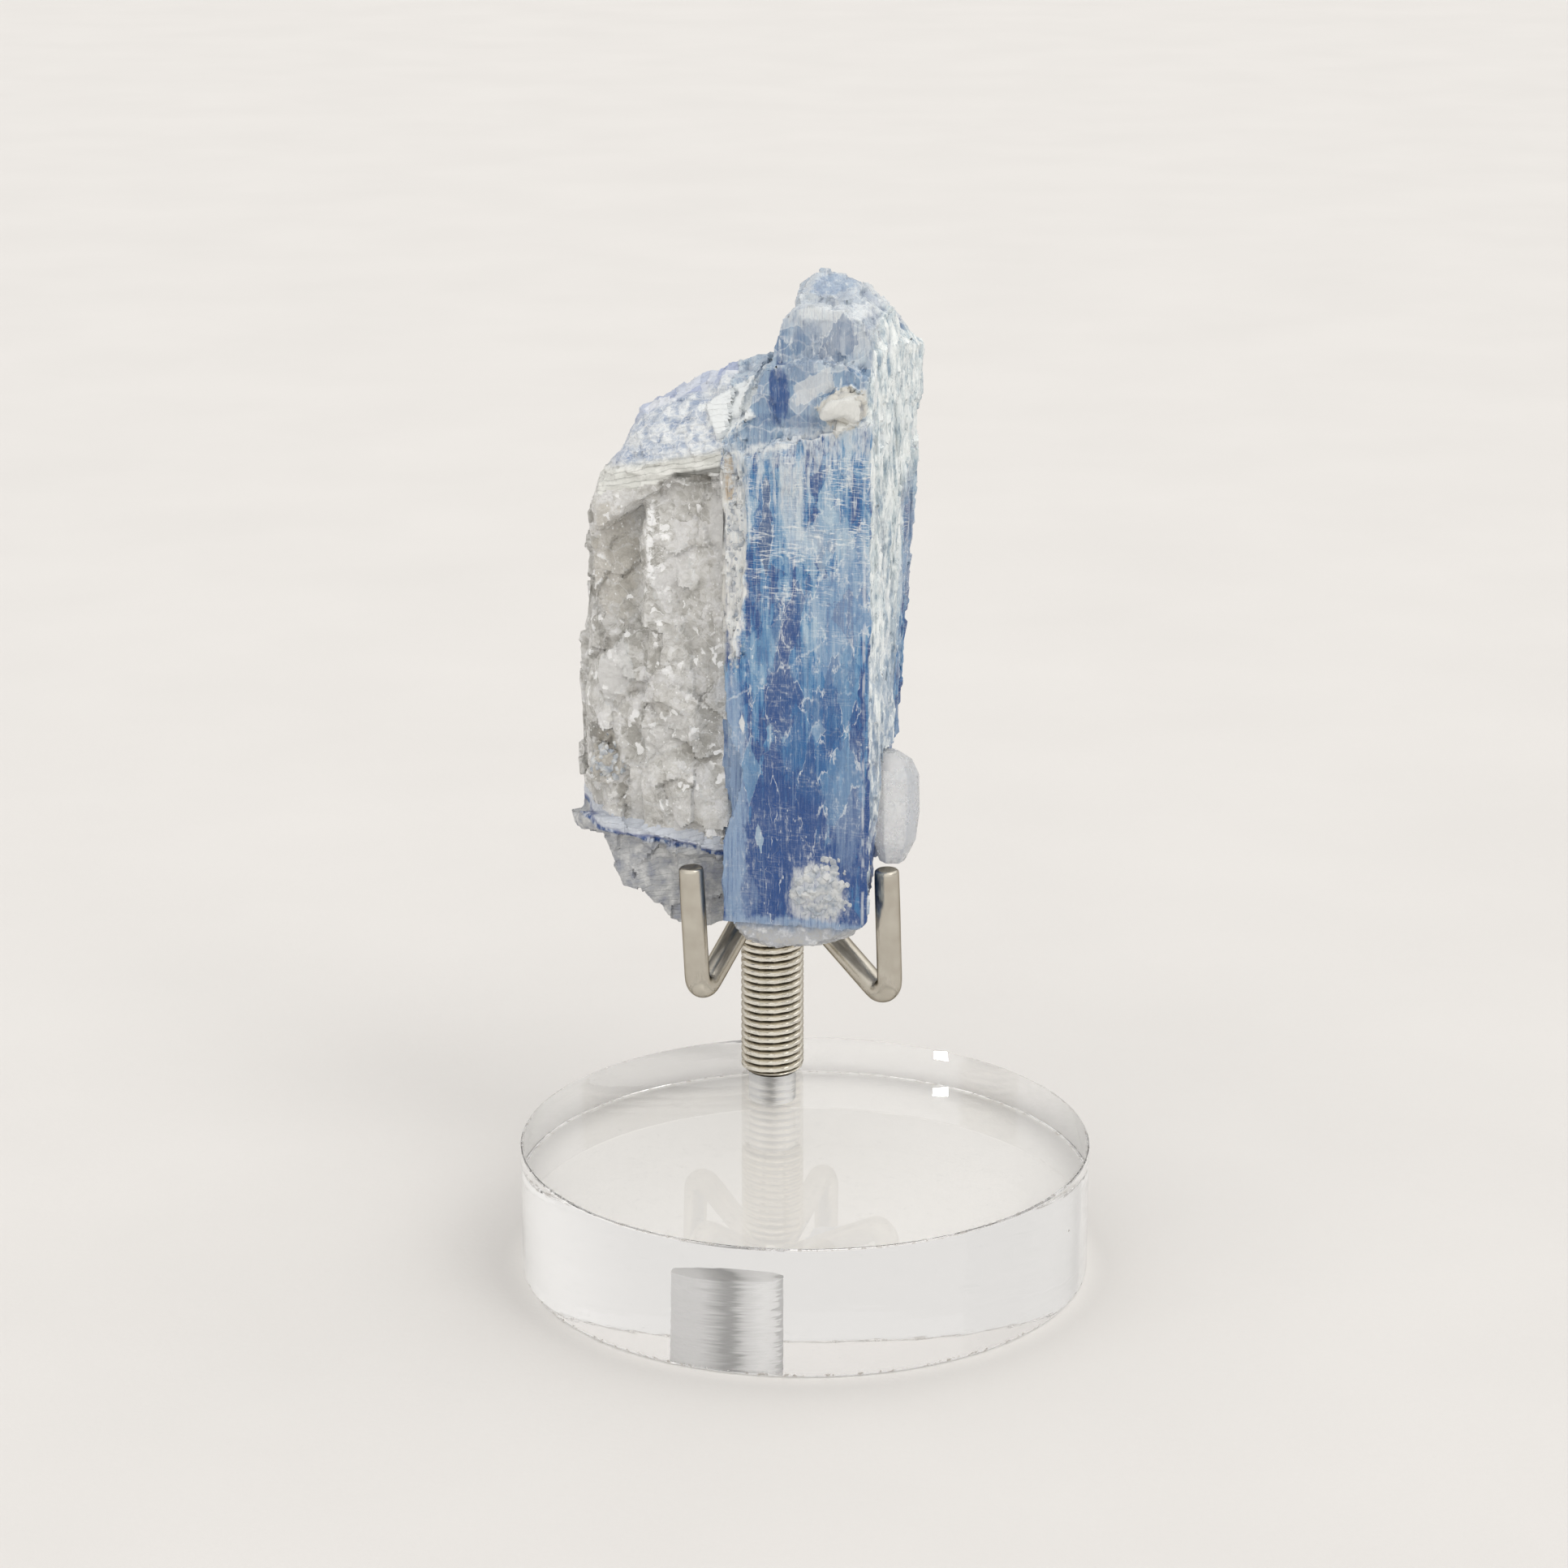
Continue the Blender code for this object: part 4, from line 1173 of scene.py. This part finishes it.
# %% [markdown]
# ## The threaded rod
#
# A real thread is a helix. We lay a grid round the rod and read each point's radius from how far it is
# along the pitch at its own angle: one formula, no booleans, and the surface closes on itself. Below the
# thread a plain stud goes down into the disc.

# %% Thread
ROD_CENTRE = (-3.8, 23.2)
ROD_RADIUS = 4.0
THREAD_PITCH = 1.0
THREAD_DEPTH = 0.61
THREAD_FOOT = 16.3
ROD_COLUMNS = 64
ROWS_PER_PITCH = 12
STUD_RADIUS = 2.7
STUD_BOTTOM = 4.2


def thread_radius(z, turn, top):
    """The rod's radius at a height and a part of a turn: flat crests, sloping flanks, round roots."""
    phase = (z / THREAD_PITCH - turn) % 1.0
    flank = min(1.0, max(0.0, 1.9 * (1 - abs(2 * phase - 1)) - 0.12))
    fade = min(1.0, (z - THREAD_FOOT) / 0.5, (top - z) / 0.5)
    return ROD_RADIUS - THREAD_DEPTH + THREAD_DEPTH * flank * max(0.0, fade)


def level_ring(radii, z, centre):
    """A level ring of points round a centre, one point for each radius."""
    ring = []
    for i, radius in enumerate(radii):
        angle = math.tau * i / len(radii)
        x = centre[0] + radius * math.cos(angle)
        y = centre[1] + radius * math.sin(angle)
        ring.append(Vector((x, y, z)) * MM)
    return ring


def threaded_rod():
    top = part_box("threaded_rod")[1].z / MM
    shoulder = top - 1.3
    stud = ((STUD_RADIUS - 0.7, STUD_BOTTOM), (STUD_RADIUS, STUD_BOTTOM + 0.7), (STUD_RADIUS, THREAD_FOOT))
    rings = [level_ring([radius] * ROD_COLUMNS, z, ROD_CENTRE) for radius, z in stud]
    rows = int((shoulder - THREAD_FOOT) * ROWS_PER_PITCH / THREAD_PITCH)
    for row in range(rows + 1):
        z = THREAD_FOOT + row * THREAD_PITCH / ROWS_PER_PITCH
        radii = [thread_radius(z, i / ROD_COLUMNS, shoulder) for i in range(ROD_COLUMNS)]
        rings.append(level_ring(radii, z, ROD_CENTRE))
    rings.append(level_ring([2.4] * ROD_COLUMNS, top, ROD_CENTRE))
    return poured(lofted(rings), "threaded_rod")


def make_thread_steel():
    """Painted light and shade: bright crests, and painted shade that darkens the roots of the thread."""
    finish = Finish("turned_steel", Metallic=1.0, Roughness=0.16, Specular_Tint=tint(176, 170, 160))
    away = finish.spot.vector("SUBTRACT", (*ROD_CENTRE, 0.0)).scaled(1, 1, 0)
    reach = away.vector("LENGTH", take="Value")
    # Painted light and shade: the thread's crests are painted bright and its roots dark.
    painted_crest_light = reach.step(ROD_RADIUS - THREAD_DEPTH * 0.95, ROD_RADIUS - THREAD_DEPTH * 0.40)
    finish.feed("Base Color", painted_crest_light.mixed(tint(122, 116, 104), tint(232, 228, 218)))
    finish.feed("Roughness", finish.spot.noise(3.0, 3.0) * 0.2 + 0.06)
    return finish.material


rod_steel = make_thread_steel()
show_piece("rod_thread", threaded_rod(), rod_steel, "threaded_rod")

# %% [markdown]
# ## The clear disc
#
# Acrylic bends light a little less than glass does. What makes it look real is the geometry: tiny round
# rims that catch the light, and a blind hole with a frosted wall, which the front of the disc magnifies
# into the pale blurred shape of the stud. So the hole has a finish of its own: the stud's light and shade
# are painted on the frosted wall, which also glows a little.

# %% Acrylic finishes
DISC_RADIUS = 35.0
DISC_THICK = 16.0
HOLE_RADIUS = 3.0
HOLE_FLOOR = 3.8
# Painted light and shade of the stud through the frosted wall, from its left edge at 0 to its right edge
# at 1: dark in the middle.
STUD_PAINTED_SHADES = (
    (0.04, 240), (0.22, 234), (0.42, 178), (0.50, 174), (0.60, 228), (0.80, 255), (0.92, 250), (0.97, 206),
)


def make_acrylic():
    finish = Finish("clear_acrylic", IOR=1.49, Transmission_Weight=1.0, Roughness=0.0)
    rubs = finish.spot.scaled(0.3, 0.3, 0.5).threads(1.0, 0.004, 3.0)
    z = finish.spot.axis(2)
    depth = DISC_RADIUS - finish.spot.scaled(1, 1, 0).vector("LENGTH", take="Value")
    at_rim = z.step(0.55, 0.25).most(z.step(DISC_THICK - 0.30, DISC_THICK - 0.12) * 0.7)
    chips = finish.spot.noise(1.6, 3.0, 0.6).step(0.50, 0.62) * at_rim * depth.step(0.5, 0.3)
    dust = finish.spot.cells(0.16).step(0.035, 0.020) * depth.step(0.2, 0.1)
    marks = chips.most(dust)
    colour = rubs.mixed(tint(255, 255, 255), tint(244, 245, 245))
    finish.feed("Base Color", (marks * 0.8).mixed(colour, tint(150, 136, 118)))
    finish.feed("Roughness", (rubs * 0.15).most(marks * 0.5))
    finish.bump(finish.spot.scaled(0.05, 0.05, 0.6).noise(1.0, 2.0), 0.015)
    return finish.material


def make_frosted():
    # Painted light and shade: the frosted wall carries painted greys for the stud behind it and glows a
    # little in them.
    finish = Finish("frosted_hole_with_painted_stud", IOR=1.49, Roughness=0.6, Emission_Strength=0.14)
    drilled = finish.spot.scaled(0.4, 0.4, 5.0).noise(1.0, 4.0)
    across = finish.spot.axis(0) - ROD_CENTRE[0]
    tone = across * (0.5 / HOLE_RADIUS) + 0.5 + (drilled - 0.5) * 0.35
    tone = tone.ramp(*((place, tint(grey, grey, grey)) for place, grey in STUD_PAINTED_SHADES))
    finish.feed("Base Color", tone)
    finish.feed("Emission Color", tone)
    finish.bump(drilled, 0.05)
    return finish.material


# %% [markdown]
# The disc is turned from its profile and then drilled. Its small round rims need a low limit for sharp
# edges: with a higher one the rims would bend the shading of the flat faces, and a mirror shows that.


# %% Turn the disc and drill it
def turned(profile, columns, centre=(0.0, 0.0)):
    """A turned form, from (radius, height) points."""
    rings = [level_ring([radius] * columns, z, centre) for radius, z in profile]
    return poured(lofted(rings), "turned")


RIM = 0.25
rim_steps = [math.radians(a) for a in (0, 22.5, 45, 67.5, 90)]
disc_profile = [(DISC_RADIUS - RIM + RIM * math.sin(a), RIM - RIM * math.cos(a)) for a in rim_steps]
disc_profile += [
    (DISC_RADIUS - RIM + RIM * math.cos(a), DISC_THICK - RIM + RIM * math.sin(a)) for a in rim_steps
]
disc = add_thing("disc", turned(disc_profile, 256), make_acrylic(), make_frosted())
drill_profile = ((HOLE_RADIUS, HOLE_FLOOR), (HOLE_RADIUS, DISC_THICK + 2))
drill = add_thing("drill", turned(drill_profile, 64, ROD_CENTRE))
boolean(disc, "DIFFERENCE", drill)
disc_mesh = settled(disc, "acrylic_disc")
bpy.data.objects.remove(drill)
for face in disc_mesh.polygons:
    off_axis = math.hypot(face.center.x / MM - ROD_CENTRE[0], face.center.y / MM - ROD_CENTRE[1])
    face.material_index = int(off_axis < HOLE_RADIUS + 0.05 and face.center.z / MM < DISC_THICK - 0.01)
disc_mesh.shade_smooth()
disc_mesh.set_sharp_from_angle(angle=math.radians(10))
disc_piece = add_thing("acrylic_disc", disc_mesh)
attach(disc_piece, "root")
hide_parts("acrylic_base")
print("disc:", len(disc_mesh.polygons), "faces")

# %% [markdown]
# ## Floor and light
#
# The photograph is bright and almost without shadow: a warm white sweep under a big soft window light.
# The floor lies a hair below the disc, because the film of air under it is what turns the underside of a
# clear disc into a mirror. A pale sky fills the shadows. Under the disc lies painted light: the paper
# there is whiter and glows a little.

# %% Floor
FLOOR_DROP = 0.0002
bm = bmesh.new()
bmesh.ops.create_grid(bm, x_segments=1, y_segments=1, size=6.0)
floor = add_thing("floor", poured(bm, "floor"))
floor.location.z = -FLOOR_DROP
paper = Finish("warm_paper_with_painted_light", Roughness=0.9, Specular_IOR_Level=0.2, Emission_Strength=0.12)
paper_tone = paper.spot.noise(0.02, 3.0).ramp((0.3, tint(216, 214, 212)), (0.7, tint(219, 217, 215)))
# Painted light: a whiter, faintly glowing round of paper under the disc.
painted_light_under_disc = paper.spot.vector("LENGTH", take="Value").step(38.0, 30.0)
paper.feed("Base Color", painted_light_under_disc.mixed(paper_tone, tint(254, 252, 249)))
paper.feed("Emission Color", painted_light_under_disc.mixed(tint(0, 0, 0), tint(255, 252, 246)))
paper.bump(paper.spot.noise(1.5, 5.0, 0.6), 0.05)
floor.data.materials.append(paper.material)

# %% [markdown]
# The sky is brighter overhead, towards the window and in front, with one small strong patch as the key.
# Two tiny lamps far behind give the pair of window glints on the disc's top.

# %% Sky and lamps
WINDOW_WAY = Vector((0.45, 0.30, 0.85))
FRONT_WAY = Vector((-0.15, -0.96, 0.20))
BACKDROP_WAY = Vector((0.0, 0.96, 0.28))
KEY_WAY = Vector((0.50, -0.46, 0.73))
world = bpy.data.worlds.new("studio")
world.use_nodes = True
bpy.context.scene.world = world
way = Wire(world.node_tree, None).node("ShaderNodeTexCoord", take="Generated")


def glow(towards, low=0.1, high=1.0):
    """1 in one direction, and smoothly down to 0 where the cosine of the angle to it has sunk to low."""
    return way.vector("DOT_PRODUCT", towards.normalized(), "Value").step(low, high)


sky = world.node_tree.nodes["Background"]
sky.inputs["Color"].default_value = tint(241, 239, 236)
bright = glow(Vector((0, 0, 1)), 0.3) * 0.39 + glow(WINDOW_WAY, 0.75) * 0.45 + glow(FRONT_WAY) * 0.44 + 0.86
bright = bright + glow(KEY_WAY, 0.955, 0.985) * 2.6 + glow(BACKDROP_WAY, 0.3, 0.95) * -0.02
world.node_tree.links.new(bright.socket, sky.inputs["Strength"])


def add_lamp(name, spot, aim, size, watts, colour):
    lamp = bpy.data.objects.new(name, bpy.data.lights.new(name, "AREA"))
    lamp.data.shape = "RECTANGLE"
    lamp.data.size = size[0]
    lamp.data.size_y = size[1]
    lamp.data.energy = watts
    lamp.data.color = colour[:3]
    lamp.location = spot
    lamp.rotation_euler = (Vector(aim) - Vector(spot)).to_track_quat("-Z", "Y").to_euler()
    bpy.context.scene.collection.objects.link(lamp)


AIM = (0.0, 0.0, 0.06)
add_lamp("window", (0.125, 2.0, 0.787), AIM, (0.010, 0.004), 0.003, tint(255, 255, 255))
add_lamp("upper_window", (0.125, 2.0, 0.763), AIM, (0.009, 0.003), 0.002, tint(255, 255, 255))

# %% [markdown]
# Light that enters the clear disc is thrown back and forth between its walls many times before it leaves.
# Paths that give up too early would leave black shapes in it, so they get more bounces.

# %% Let light bounce for longer
paths = bpy.context.scene.cycles
paths.max_bounces = 28
paths.diffuse_bounces = 3
paths.glossy_bounces = 20
paths.transmission_bounces = 28
bpy.context.scene.view_settings.view_transform = "Standard"
print("lamps and floor are in place")
